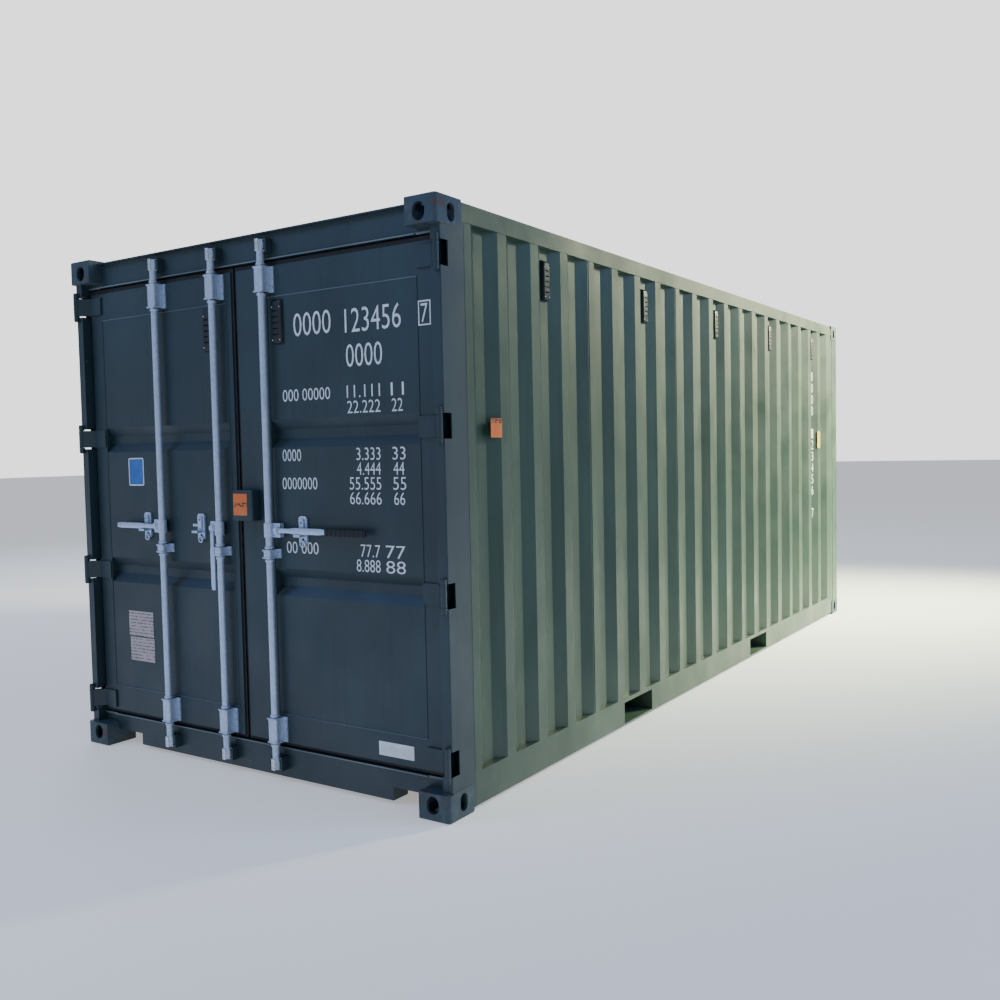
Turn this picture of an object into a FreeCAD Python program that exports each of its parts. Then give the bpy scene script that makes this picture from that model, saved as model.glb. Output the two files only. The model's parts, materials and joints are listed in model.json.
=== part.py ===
"""Dry freight container of 20 ft length with two hinged end doors.

Millimetres, +Z up.  The origin is on the ground under the middle of the box.  X runs across,
the doors are at the -Y end, and the plain front wall is at the +Y end.  Right and left are as
seen by someone who stands in front of the doors, so the right door is on the +X side.
"""
import FreeCAD
import Part
import math
import os

Vector = FreeCAD.Vector

# ---- overall size and standard corner castings
length = 6058.0
width = 2438.0
height = 2591.0
casting_length = 178.0
casting_width = 162.0
casting_height = 118.0
casting_wall = 16.0
casting_inner_wall = 12.0
casting_plate = 28.5
casting_corner_radius = 16.0  # upright outer corner
casting_edge_radius = 7.0     # outer edges of the top or bottom face
aperture_length = 124.0
aperture_width = 63.5
aperture_from_end = 102.5
aperture_from_side = 89.5
end_hole_width = 63.5
side_hole_width = 51.0
side_hole_height = 79.5
side_hole_from_face = 68.2

# ---- steel frame
face_inset = 4.0             # posts and rails lie this far inside the casting faces
plate = 6.0                  # wall of posts, header and sill
base_height = 18.0           # underside of the base frame above the ground
rear_post_length = 171.0     # along the box, from the end flange to the wall
rear_post_width = 49.0
rear_post_recess = 28.0      # end flange behind the end plane
rear_post_lap = 20.0         # the side plate runs this far past the closed section
front_post_length = 140.0
front_post_width = 110.0
front_post_flange = 24.0
front_post_inner_foot = 52.0
front_post_inner_lip = 36.0
front_beam_recess = 8.0
front_sill_depth = 75.0
front_wall_set_back = 12.0
top_rail_size = 60.0
top_rail_wall = 3.0
top_rail_drop = 29.0         # top of the rail below the top of the castings
bottom_rail_width = 48.0
bottom_rail_wall = 4.5
bottom_rail_foot = 30.0
floor_level = 172.0
floor_thickness = 28.0
floor_gap = 3.0              # between the plywood and the rear posts
cross_member_width = 45.0
cross_member_pitch = 310.0
cross_member_wall = 4.0
door_recess = 72.0           # door face behind the end plane
end_beam_depth = 100.0       # header and sill, front to back
beam_set_back = 2.0          # header and sill behind the door face
header_from_top = 16.0       # top of the header below the top of the castings
header_height = 127.0
header_lip = 26.0
header_drip = 13.0
sill_top = 164.0
sill_lip = 10.0
sill_slot_length = 197.0     # recess in the sill beside each casting
sill_slot_top = 78.0

# ---- sheet walls
sheet = 2.0
wall_inset = 6.0             # wall crests behind the casting faces
wall_pitch = 278.0
wall_crest = 72.0
wall_slope = 68.0
wall_depth = 36.0
wall_first_strip = 52.0
front_pitch = 250.0
front_crest = 110.0
front_slope = 18.0
front_depth = 45.6
roof_from_top = 8.0
roof_inset = 3.0             # roof sheet inside the wall crests
roof_depth = 18.0
roof_pitch = 209.0
roof_crest = 100.0
roof_slope = 14.0
roof_edge = 60.0
roof_first_groove = 80.0
roof_corner_gap = 6.0
roof_lap = 20.0              # roof sheet over the end beams
roof_plate = 4.0
roof_plate_gap = 2.0

# ---- fork pockets
pocket_spacing = 2050.0
pocket_offset = -178.0       # middle of the pair, towards the doors from the middle of the box
pocket_width = 360.0
pocket_bottom = 26.0
pocket_height = 115.0
pocket_wall = 6.0

# ---- vents
side_vent_first = 2          # wall trough that carries the first vent
side_vent_step = 4
side_vent_below_rail = 52.0
side_vent_height = 195.0
side_vent_width = 58.0
side_vent_depth = 22.0
door_vent_below_leaf = 155.0
door_vent_height = 210.0
door_vent_width = 70.0
door_vent_depth = 14.0
door_vent_places = {"left": -226.0, "right": 244.0}

# ---- doors
leaf_edge_from_side = 69.0
leaf_thickness = 50.0
leaf_bottom = 185.0
leaf_gap_top = 28.0          # door leaf below the header
leaf_wall = 4.0
right_inner_edge = -24.0
left_inner_edge = -64.0
outer_stile = 92.0
right_inner_stile = 202.0
left_inner_stile = 36.0
bottom_member = 135.0
top_member = 142.0
groove_from_foot = 630.0     # middle of the lower groove above the panel's foot
groove_from_head = 636.0
groove_flat = 42.0
groove_slope = 44.0
groove_depth = 36.0
gasket_depth = 30.0
gasket_side = 11.0
gasket_meeting = 14.0
gasket_end = 21.0
gasket_bottom = 14.0
gasket_shift = 3.0           # towards the door face from the middle of the leaf

# ---- hinges
hinge_from_side = 18.0
hinge_from_end = 17.0        # pin axis behind the end plane
hinge_count = 4
hinge_from_foot = 58.0       # lowest hinge above the leaf's foot
hinge_from_head = 65.0
hinge_height = 90.0
hinge_pin_radius = 8.0
hinge_fit = 0.05
hinge_knuckle_radius = 13.0
hinge_knuckle_share = 0.62   # part of the knuckle that the strap takes in
hinge_strap_setback = 6.0
hinge_lug_web = 5.0
hinge_lug_height = 26.0
hinge_lug_gap = 1.0
hinge_strap = 10.0
hinge_strap_reach = 92.0
hinge_notch_gap = 8.0

# ---- locking gear
rod_radius = 17.0
rod_from_face = 37.0         # rod axis in front of the door face
rod_places = {"left_outer": -583.0, "left_inner": -157.0, "right": 181.0}
rod_fit = 0.08
rod_bottom = 62.0
rod_below_header = 38.0      # top end of the rods under the header's top
cam_height = 50.0
cam_radius = 23.0
cam_neck = 10.0              # shaft left bare at each end of a cam
cam_flat = 6.0
cam_clearance = 6.0
cam_finger = 9.0
keeper_depth = 40.0
keeper_plate = 6.0
keeper_past_cam = 8.0
keeper_past_rod = 6.0
bracket_width = 54.0
guide_width = 44.0
bracket_corner_radius = 10.0
bracket_front = 59.0         # bracket face in front of the door face
bracket_wing = 20.0
bracket_wing_thickness = 6.0
bracket_from_leaf_end = 4.0
bracket_height = 120.0
guide_below_handle = 90.0    # top of the middle guide below the handle
guide_height = 43.0
handle_height = 1195.0
hub_height = 66.0
hub_reach = 68.0
hub_pin_from_end = 18.0
hub_pin_radius = 7.0
hub_head_radius = 12.0
hub_head_height = 3.0
hub_wall = 6.0
hub_back_gap = 8.0
handle_bar_height = 30.0
handle_bar_thickness = 12.0
handle_from_face = 33.0      # face of the hub in front of the door face
handle_play = 0.4            # handle bar in front of the hub
handle_eye_rim = 4.0
handle_silver = 355.0
grip_length = 240.0
grip_height = 34.0
grip_rim = 2.0               # grip thicker than the bar, front and back
retainer_width = 50.0
retainer_below_handle = 63.0
retainer_above_handle = 67.0
retainer_round = 0.6         # corner radius as a share of the half width
retainer_lip = 12.0
retainer_eye_radius = 9.0
retainer_eye_height = 20.0
retainer_plate = 10.0
retainer_lip_reach = 48.0
retainer_seat_gap = 0.5
retainer_places = {"left_outer": -733.0, "left_inner": -322.0, "right": 372.0}
lock_box_left = -41.0
lock_box_right = 92.0
lock_box_above_handle = 42.0
lock_box_height = 146.0
lock_box_depth = 55.0
lock_box_wall = 5.0

# ---- derived places
half_length = length / 2
half_width = width / 2
door_end = -half_length
frame_side = half_width - face_inset
door_face = door_end + door_recess
leaf_back = door_face + leaf_thickness
beam_face = door_face + beam_set_back
beam_back = beam_face + end_beam_depth
post_face = door_end + rear_post_recess
post_inner_x = frame_side - rear_post_width
post_back = post_face + rear_post_length - rear_post_lap
wall_start = post_face + rear_post_length
front_post_start = half_length - face_inset - front_post_length
wall_outer = half_width - wall_inset
rail_top = height - top_rail_drop
rail_bottom = rail_top - top_rail_size
floor_underside = floor_level - floor_thickness
bottom_rail_top = sill_top
header_top = height - header_from_top
header_bottom = header_top - header_height
roof_top = height - roof_from_top
hinge_y = door_end + hinge_from_end
rod_y = door_face - rod_from_face
rod_top = header_top - rod_below_header
leaf_outer_edge = half_width - leaf_edge_from_side
leaf_top = header_bottom - leaf_gap_top
panel_foot = leaf_bottom + bottom_member
panel_head = leaf_top - top_member
groove_heights = (panel_foot + groove_from_foot, panel_head - groove_from_head)
hinge_x = half_width - hinge_from_side
hinge_span = leaf_top - hinge_from_head - leaf_bottom - hinge_from_foot
hinge_heights = [leaf_bottom + hinge_from_foot + i * hinge_span / (hinge_count - 1)
                 for i in range(hinge_count)]
casting_inner = half_length - casting_length
front_beam_face = half_length - face_inset - front_beam_recess
roof_start = beam_back - roof_lap
roof_end = front_beam_face - roof_lap
front_sill_start = front_beam_face - front_sill_depth
front_wall_outside = front_beam_face - front_wall_set_back
handle_back_y = door_face - handle_from_face
handle_back = handle_back_y - handle_play
handle_front = handle_back - handle_bar_thickness
hub_pin_reach = hub_reach - hub_pin_from_end
trough_width = wall_pitch - wall_crest - 2 * wall_slope
trough_count = int((front_post_start - wall_start - wall_first_strip) // wall_pitch)
pocket_centres = (pocket_offset - pocket_spacing / 2, pocket_offset + pocket_spacing / 2)


def box(x0, x1, y0, y1, z0, z1):
    """Box between two corners, in any order."""
    low = Vector(min(x0, x1), min(y0, y1), min(z0, z1))
    return Part.makeBox(abs(x1 - x0), abs(y1 - y0), abs(z1 - z0), low)


def rod(radius, x, y, z0, z1):
    """Upright cylinder."""
    return Part.makeCylinder(radius, z1 - z0, Vector(x, y, z0))


def prism(points, direction):
    """Straight extrusion of a closed flat outline."""
    corners = [Vector(*p) for p in points]
    return Part.Face(Part.makePolygon(corners + corners[:1])).extrude(Vector(*direction))


def tube(points, wall, direction):
    """Straight hollow section: the outline is its outside, and the ends are open."""
    corners = [Vector(*p) for p in points]
    face = Part.Face(Part.makePolygon(corners + corners[:1]))
    return face.extrude(Vector(*direction)).cut(face.makeOffset2D(-wall, 2).extrude(Vector(*direction)))


def mirrored(shape, axis="x"):
    """Copy on the other side of the box."""
    normal = Vector(1, 0, 0) if axis == "x" else Vector(0, 1, 0)
    return shape.mirror(Vector(0, 0, 0), normal)


def fuse(shapes):
    """One solid from several that meet."""
    first, rest = shapes[0], shapes[1:]
    return first.multiFuse(rest).removeSplitter() if rest else first


def save(name, shapes):
    """Write one node from one or more solids that do not touch."""
    shape = shapes[0] if len(shapes) == 1 else Part.makeCompound(shapes)
    shape.exportStep(f"parts/{name}.step")
    solids = shape.Solids
    print(f"{name:28s} solids {len(solids):3d}  valid {shape.isValid()}  volume {shape.Volume / 1e6:9.3f} l")


def both_sides(shape):
    """The shape and its mirror image across the middle of the box."""
    return [shape, mirrored(shape)]


def thin_wave(points, thickness, direction, normal):
    """Sheet of one thickness that follows an open outline; normal points into the sheet."""
    inner = [tuple(p[i] + thickness * normal[i] for i in range(3)) for p in points]
    return prism(points + inner[::-1], direction)


# ---------------------------------------------------------------- frame
def obround(length_y, width_x, x, y, z0, z1):
    """Slot with round ends, long way along Y."""
    half = (length_y - width_x) / 2
    slot = box(x - width_x / 2, x + width_x / 2, y - half, y + half, z0, z1)
    ends = [rod(width_x / 2, x, y + s * half, z0, z1) for s in (-1, 1)]
    return fuse([slot] + ends)


def upright_slot(breadth, low, high, start, direction):
    """Cutter for an upright hole with round ends through an outer casting wall."""
    half, depth = breadth / 2, casting_wall + 2
    (x, y), (dx, dy) = start, direction
    middle = box(x - dy * half, x + dx * depth + dy * half, y - dx * half, y + dy * depth + dx * half,
                 low + half, high - half)
    ends = [Part.makeCylinder(half, depth, Vector(x, y, z), Vector(dx, dy, 0))
            for z in (low + half, high - half)]
    return fuse([middle] + ends)


def casting(is_top):
    """Corner casting at the +X, +Y corner, with its hollow and its three apertures."""
    x1, y1 = half_width, half_length
    x0, y0 = x1 - casting_width, y1 - casting_length
    z0 = height - casting_height if is_top else 0.0
    z1 = z0 + casting_height
    low_wall = casting_inner_wall if is_top else casting_plate
    high_wall = casting_plate if is_top else casting_inner_wall
    block = box(x0, x1, y0, y1, z0, z1)
    upright = [e for e in block.Edges if e.BoundBox.ZLength > 1 and e.BoundBox.XMin > x1 - 1
               and e.BoundBox.YMin > y1 - 1]
    block = block.makeFillet(casting_corner_radius, upright)
    face = z1 if is_top else z0
    rim = [e for e in block.Edges if e.BoundBox.ZLength < 1 and abs(e.BoundBox.ZMin - face) < 1
           and (e.BoundBox.XMax > x1 - 1 or e.BoundBox.YMax > y1 - 1)
           and (e.BoundBox.XMin > x0 + 1 or e.BoundBox.YMin > y1 - 1)
           and (e.BoundBox.YMin > y0 - 1)]
    block = block.makeFillet(casting_edge_radius, rim)
    hollow = box(x0 + casting_inner_wall, x1 - casting_wall, y0 + casting_inner_wall,
                 y1 - casting_wall, z0 + low_wall, z1 - high_wall)
    hole_x, hole_y = x1 - aperture_from_side, y1 - aperture_from_end
    face_z = (z1 - casting_plate - 1, z1 + 1) if is_top else (z0 - 1, z0 + casting_plate + 1)
    mouth = obround(aperture_length, aperture_width, hole_x, hole_y, *face_z)
    centre = z1 - side_hole_from_face if is_top else z0 + side_hole_from_face
    low, high = centre - side_hole_height / 2, centre + side_hole_height / 2
    low, high = max(low, z0 + low_wall), min(high, z1 - high_wall)
    end_hole = upright_slot(end_hole_width, low, high, (hole_x, y1 - casting_wall - 1), (0, 1))
    side_hole = upright_slot(side_hole_width, low, high, (x1 - casting_wall - 1, hole_y), (1, 0))
    return block.cut(hollow).cut(mouth).cut(end_hole).cut(side_hole)


def hinge_notches():
    """Clear space in the right rear post where the hinge straps turn."""
    half = hinge_height / 2 + hinge_notch_gap
    return [box(leaf_outer_edge, half_width, door_end, door_face + hinge_strap, z - half, z + half)
            for z in hinge_heights]


def rear_post():
    """Right rear post: a closed pressed section with a side plate that laps the wall."""
    low, high = casting_height, height - casting_height
    outline = [(frame_side, post_face, low), (frame_side, post_back, low),
               (post_inner_x, post_back, low), (post_inner_x, post_face, low)]
    section = tube(outline, plate, (0, 0, high - low))
    corner = [e for e in section.Edges if e.BoundBox.ZLength > 1
              and abs(e.BoundBox.XMin - frame_side) < 0.1 and abs(e.BoundBox.YMin - post_face) < 0.1]
    section = section.makeFillet(plate, corner)
    lap = box(frame_side - plate, frame_side, post_back, wall_start, base_height, rail_bottom)
    post = fuse([section, lap])
    for notch in hinge_notches():
        post = post.cut(notch)
    return post


def front_post():
    """Right front post: a pressed section with an oblique inner face."""
    low, high = casting_height, height - casting_height
    end = half_length - face_inset
    start = front_post_start
    outline = [(frame_side, start, low), (frame_side, end, low),
               (frame_side - front_post_width, end, low),
               (frame_side - front_post_width, end - front_post_flange, low),
               (frame_side - front_post_inner_foot, end - front_post_flange, low),
               (frame_side - front_post_inner_lip, start, low)]
    return tube(outline, plate, (0, 0, high - low))


def shoulders(y0, y1, z0, z1, x_post):
    """Blocks that carry an end beam past the castings to the posts."""
    x_beam = half_width - casting_width
    return [box(s * x_beam, s * x_post, y0, y1, z0, z1) for s in (-1, 1)]


def header():
    """Beam over the doors with a lip above the cams and a drip edge below them."""
    half = half_width - casting_width
    outline = [(-half, beam_face, header_bottom), (-half, beam_back, header_bottom),
               (-half, beam_back, header_top), (-half, beam_face, header_top)]
    beam = tube(outline, plate, (2 * half, 0, 0))
    top_lip = box(-half, half, beam_face - header_lip, beam_face, header_top - plate, header_top)
    drip = box(-half, half, beam_face - header_drip, beam_face, header_bottom, header_bottom + plate)
    return fuse([beam, top_lip, drip] + shoulders(beam_face, beam_back, header_bottom,
                                                  height - casting_height, post_inner_x))


def sill():
    """Beam under the doors with its threshold and a recess beside each casting."""
    half = half_width - casting_width
    outline = [(-half, beam_face, base_height), (-half, beam_back, base_height),
               (-half, beam_back, sill_top), (-half, beam_face, sill_top)]
    beam = tube(outline, plate, (2 * half, 0, 0))
    lip = box(-half, half, beam_face - sill_lip, beam_face, sill_top - plate, sill_top)
    body = fuse([beam, lip])
    slot_from = half - sill_slot_length
    for side in (-1, 1):
        recess = box(side * slot_from, side * (half + 1), beam_face - 1, beam_back + 1,
                     base_height - 1, sill_slot_top)
        roof = box(side * slot_from, side * half, beam_face, beam_back,
                   sill_slot_top, sill_slot_top + plate)
        cheek = box(side * slot_from, side * (slot_from - plate), beam_face, beam_back,
                    base_height, sill_slot_top + plate)
        body = fuse([body.cut(recess), roof, cheek])
    return fuse([body] + shoulders(beam_face, beam_back, casting_height, sill_top, post_inner_x))


def front_top_rail():
    """Tube over the front wall."""
    half = half_width - casting_width
    start, end = front_beam_face - top_rail_size, front_beam_face
    outline = [(-half, start, rail_bottom), (-half, end, rail_bottom),
               (-half, end, rail_top), (-half, start, rail_top)]
    return tube(outline, plate, (2 * half, 0, 0))


def front_sill():
    """Channel under the front wall."""
    half = half_width - casting_width
    start, end = front_sill_start, front_beam_face
    outline = [(-half, start, base_height), (-half, end, base_height),
               (-half, end, sill_top), (-half, start, sill_top)]
    body = tube(outline, plate, (2 * half, 0, 0))
    inner = box(-half - 1, half + 1, start - 1, start + plate + 1, base_height + plate, sill_top - plate)
    return fuse([body.cut(inner)] + shoulders(start, end, casting_height, sill_top,
                                              frame_side - front_post_width))


def top_side_rail():
    """Square tube along the top of the right wall."""
    outline = [(frame_side - top_rail_size, -casting_inner, rail_bottom),
               (frame_side, -casting_inner, rail_bottom), (frame_side, -casting_inner, rail_top),
               (frame_side - top_rail_size, -casting_inner, rail_top)]
    return tube(outline, top_rail_wall, (0, 2 * casting_inner, 0))


def bottom_side_rail():
    """Channel along the foot of the right wall, open towards the floor, cut for the forks."""
    web = box(wall_outer - bottom_rail_wall, wall_outer, wall_start, casting_inner,
              base_height, bottom_rail_top)
    top = box(wall_outer - bottom_rail_width, wall_outer, wall_start, casting_inner,
              bottom_rail_top - bottom_rail_wall, bottom_rail_top)
    foot = box(wall_outer - bottom_rail_foot, wall_outer, wall_start, casting_inner,
               base_height, base_height + bottom_rail_wall)
    over_casting = box(wall_outer - bottom_rail_width, wall_outer, casting_inner, front_post_start,
                       casting_height, bottom_rail_top)
    rail = fuse([web, top, foot, over_casting])
    for y in pocket_centres:
        rail = rail.cut(box(wall_outer - bottom_rail_width, wall_outer + 1, y - pocket_width / 2,
                            y + pocket_width / 2, pocket_bottom, pocket_bottom + pocket_height))
    return rail


def fork_pocket(y):
    """Steel tunnel across the base for one fork tine."""
    half = pocket_width / 2
    reach = wall_outer - bottom_rail_wall
    outer = box(-reach, reach, y - half - pocket_wall, y + half + pocket_wall,
                base_height + bottom_rail_wall, floor_underside)
    inner = box(-reach - 1, reach + 1, y - half, y + half, pocket_bottom, pocket_bottom + pocket_height)
    return outer.cut(inner)


def cross_members():
    """Channels across the base between the side rails, kept clear of the fork pockets."""
    half = wall_outer - bottom_rail_wall
    foot_clear = wall_outer - bottom_rail_foot
    low, high = base_height, floor_underside
    keep_off = pocket_width / 2 + pocket_wall + cross_member_width
    count = int(2 * (casting_inner - cross_member_pitch / 5) / cross_member_pitch)
    members = []
    for i in range(count):
        y = (i - (count - 1) / 2) * cross_member_pitch
        for pocket in pocket_centres:
            if abs(y - pocket) < keep_off:
                y = pocket + math.copysign(keep_off, y - pocket)
        near, far = y - cross_member_width / 2, y + cross_member_width / 2
        member = box(-half, half, near, far, low, high)
        member = member.cut(box(-half - 1, half + 1, near + cross_member_wall, far + 1,
                                low + cross_member_wall, high - cross_member_wall))
        for s in (-1, 1):
            member = member.cut(box(s * foot_clear, s * (half + 1), near - 1, far + 1,
                                    low - 1, low + bottom_rail_wall))
        members.append(member)
    return members


def floor():
    """Plywood floor between the side walls and the two end beams."""
    half = post_inner_x - floor_gap
    return box(-half, half, beam_back, front_sill_start, floor_underside, floor_level)


def casting_space():
    """Room of the top casting at the +X, +Y corner."""
    return box(half_width - casting_width, half_width, casting_inner, half_length,
               height - casting_height, height)


def side_wall():
    """Right wall of corrugated sheet: crests outside, troughs towards the cargo."""
    outer, inner = wall_outer, wall_outer - wall_depth
    end = front_post_start
    points = [(outer, wall_start, 0), (outer, wall_start + wall_first_strip, 0)]
    y = wall_start + wall_first_strip
    for _ in range(trough_count):
        points += [(inner, y + wall_slope, 0), (inner, y + wall_slope + trough_width, 0)]
        points += [(outer, y + 2 * wall_slope + trough_width, 0), (outer, y + wall_pitch, 0)]
        y += wall_pitch
    if y < end:
        points.append((outer, end, 0))
    points = [(px, py, bottom_rail_top) for px, py, _ in points]
    wall = thin_wave(points, sheet, (0, 0, rail_bottom - bottom_rail_top), (-1, 0, 0))
    return wall.cut(casting_space())


def trough_middle(i):
    """Place along the box of the middle of trough number i, counted from the doors."""
    return wall_start + wall_first_strip + i * wall_pitch + wall_slope + trough_width / 2


def side_vents():
    """Small ventilator covers in the troughs of the right wall."""
    inner = wall_outer - wall_depth
    vents = []
    half = side_vent_width / 2
    z1 = rail_bottom - side_vent_below_rail
    z0 = z1 - side_vent_height
    for i in range(side_vent_first, trough_count, side_vent_step):
        y = trough_middle(i)
        outline = [(inner, y - half, z0), (inner + side_vent_depth, y - half, z0),
                   (inner + side_vent_depth, y - half, z1 - side_vent_depth), (inner, y - half, z1)]
        vents.append(prism(outline, (0, side_vent_width, 0)))
    return vents


def front_wall():
    """Corrugated wall at the closed end."""
    half = frame_side - front_post_width
    outer, inner = front_wall_outside, front_wall_outside - front_depth
    z0, z1 = sill_top, rail_bottom
    count = int((2 * half - front_crest) // front_pitch)
    x = -(count * front_pitch + front_crest) / 2
    points = [(-half, outer, z0)]
    trough = front_pitch - front_crest - 2 * front_slope
    for _ in range(count):
        points += [(x + front_crest, outer, z0), (x + front_crest + front_slope, inner, z0)]
        points += [(x + front_crest + front_slope + trough, inner, z0), (x + front_pitch, outer, z0)]
        x += front_pitch
    points.append((half, outer, z0))
    wall = thin_wave(points, sheet, (0, 0, z1 - z0), (0, -1, 0))
    return wall.cut(casting_space()).cut(mirrored(casting_space()))


def roof():
    """Die-stamped sheet roof with grooves across the box."""
    half = wall_outer - roof_inset
    start, end = roof_start, roof_end
    y = start + roof_first_groove
    points = [(0, start, roof_top)]
    trough = roof_pitch - roof_crest - 2 * roof_slope
    bottom = roof_top - roof_depth
    while y + roof_pitch < end - roof_edge:
        down = y + roof_crest + roof_slope
        points += [(0, y + roof_crest, roof_top), (0, down, bottom)]
        points += [(0, down + trough, bottom), (0, y + roof_pitch, roof_top)]
        y += roof_pitch
    points.append((0, end, roof_top))
    ridge = half - roof_edge
    middle = thin_wave([(-ridge, py, pz) for _, py, pz in points], sheet, (2 * ridge, 0, 0), (0, 0, -1))
    border = [box(s * (ridge - 0.5), s * half, start, end, roof_top - sheet, roof_top) for s in (-1, 1)]
    low = bottom - sheet
    kerbs = [box(s * ridge, s * (ridge + sheet), start, end, low, roof_top) for s in (-1, 1)]
    rims = [box(s * (half - sheet), s * half, start, end, rail_top, roof_top) for s in (-1, 1)]
    body = fuse([middle] + kerbs + border + rims)
    inner_x = half_width - casting_width - roof_corner_gap
    inner_y = casting_inner - roof_corner_gap
    for s in (-1, 1):
        for e in (-1, 1):
            body = body.cut(box(s * inner_x, s * half_width, e * half_length, e * inner_y,
                                rail_top - 1, height))
    return body


def roof_end_plates():
    """Thicker plates on the end beams between the top castings."""
    half = half_width - casting_width - roof_plate_gap
    rear = box(-half, half, beam_face, roof_start - roof_plate_gap, header_top, header_top + roof_plate)
    front = box(-half, half, roof_end + roof_plate_gap, front_beam_face, rail_top, rail_top + roof_plate)
    return [rear, front]


# ---------------------------------------------------------------- doors
def stretched(inner_edge, outer_edge):
    """Lowest and highest X of a leaf, whichever side it is on."""
    return min(inner_edge, outer_edge), max(inner_edge, outer_edge)


def leaf_frame(inner_edge, outer_edge, inner_stile):
    """Welded door frame: two tube stiles, and a channel at the head and the foot."""
    sign = math.copysign(1, outer_edge)
    stiles = []
    for edge, breadth in ((outer_edge, -sign * outer_stile), (inner_edge, sign * inner_stile)):
        x0, x1 = stretched(edge, edge + breadth)
        outline = [(x0, door_face, leaf_bottom), (x1, door_face, leaf_bottom),
                   (x1, leaf_back, leaf_bottom), (x0, leaf_back, leaf_bottom)]
        stiles.append(tube(outline, leaf_wall, (0, 0, leaf_top - leaf_bottom)))
    x0, x1 = stretched(inner_edge + sign * inner_stile, outer_edge - sign * outer_stile)
    foot = box(x0, x1, door_face, leaf_back, leaf_bottom, leaf_bottom + bottom_member)
    foot = foot.cut(box(x0 - 1, x1 + 1, door_face + leaf_wall, leaf_back - leaf_wall,
                        leaf_bottom + leaf_wall, leaf_bottom + bottom_member + 1))
    head = box(x0, x1, door_face, leaf_back, leaf_top - top_member, leaf_top)
    head = head.cut(box(x0 - 1, x1 + 1, door_face + leaf_wall, leaf_back - leaf_wall,
                        leaf_top - top_member - 1, leaf_top - leaf_wall))
    return fuse(stiles + [foot, head])


def leaf_panel(inner_edge, outer_edge, inner_stile):
    """Pressed panel with two grooves across it."""
    sign = math.copysign(1, outer_edge)
    x0, x1 = stretched(inner_edge + sign * inner_stile, outer_edge - sign * outer_stile)
    z0, z1 = panel_foot, panel_head
    outer = door_face
    points = [(x0, outer, z0)]
    for z in groove_heights:
        half = groove_flat / 2
        points += [(x0, outer, z - half - groove_slope), (x0, outer + groove_depth, z - half)]
        points += [(x0, outer + groove_depth, z + half), (x0, outer, z + half + groove_slope)]
    points.append((x0, outer, z1))
    return thin_wave(points, sheet, (x1 - x0, 0, 0), (0, 1, 0))


def leaf_gasket(inner_edge, outer_edge):
    """Rubber seal round the edge of a leaf."""
    sign = math.copysign(1, outer_edge)
    x0, x1 = stretched(inner_edge, outer_edge)
    g0, g1 = stretched(inner_edge - sign * gasket_meeting, outer_edge + sign * gasket_side)
    middle = (door_face + leaf_back) / 2
    y0 = middle - gasket_depth / 2 - gasket_shift
    y1 = y0 + gasket_depth
    ring = box(g0, g1, y0, y1, leaf_bottom - gasket_bottom, leaf_top + gasket_end)
    return ring.cut(box(x0, x1, y0 - 1, y1 + 1, leaf_bottom, leaf_top))


def hinge_strap_solid(z):
    """Right hinge leaf: a strap on the door with a knuckle round the pin."""
    z0, z1 = z - hinge_height / 2, z + hinge_height / 2
    x_in = leaf_outer_edge - hinge_strap_reach
    reach = hinge_knuckle_radius * hinge_knuckle_share
    bend = leaf_outer_edge - hinge_strap_setback
    outline = [(x_in, door_face, z0), (x_in, door_face - hinge_strap, z0),
               (bend, door_face - hinge_strap, z0),
               (hinge_x - reach - hinge_strap_setback, hinge_y - 2, z0),
               (hinge_x + 1, hinge_y + reach + 3, z0), (leaf_outer_edge + 2, door_face, z0)]
    strap = prism(outline, (0, 0, hinge_height))
    knuckle = rod(hinge_knuckle_radius, hinge_x, hinge_y, z0, z1)
    hole = rod(hinge_pin_radius + hinge_fit, hinge_x, hinge_y, z0 - 1, z1 + 1)
    return fuse([strap, knuckle]).cut(hole)


def hinge_pin_solid(z):
    """Right hinge pin with its two lugs, which stand on the post's end flange."""
    z0, z1 = z - hinge_height / 2 - hinge_lug_gap, z + hinge_height / 2 + hinge_lug_gap
    pin = rod(hinge_pin_radius, hinge_x, hinge_y, z0 - hinge_lug_height, z1 + hinge_lug_height)
    lugs = []
    for low in (z0 - hinge_lug_height, z1):
        barrel = rod(hinge_knuckle_radius, hinge_x, hinge_y, low, low + hinge_lug_height)
        foot = box(hinge_x - hinge_knuckle_radius, hinge_x + hinge_knuckle_radius - hinge_lug_web,
                   hinge_y, post_face, low, low + hinge_lug_height)
        lugs.append(fuse([barrel, foot]))
    around = 3 * hinge_knuckle_radius
    behind = box(hinge_x - around, hinge_x + around, post_face, post_face + around,
                 z0 - hinge_height, z1 + hinge_height)
    return fuse([pin] + lugs).cut(behind)


def rod_bracket(x, z0, z1, breadth):
    """Bearing that holds a locking rod to the door, with a fixing wing each side."""
    half = breadth / 2
    front = door_face - bracket_front
    body = box(x - half, x + half, front, door_face, z0, z1)
    corners = [e for e in body.Edges if e.BoundBox.ZLength > 1 and e.BoundBox.YMax < front + 1]
    body = body.makeFillet(bracket_corner_radius, corners)
    wings = box(x - half - bracket_wing, x + half + bracket_wing,
                door_face - bracket_wing_thickness, door_face, z0, z1)
    bore = rod(rod_radius + rod_fit, x, rod_y, z0 - 1, z1 + 1)
    return fuse([body, wings]).cut(bore)


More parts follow.
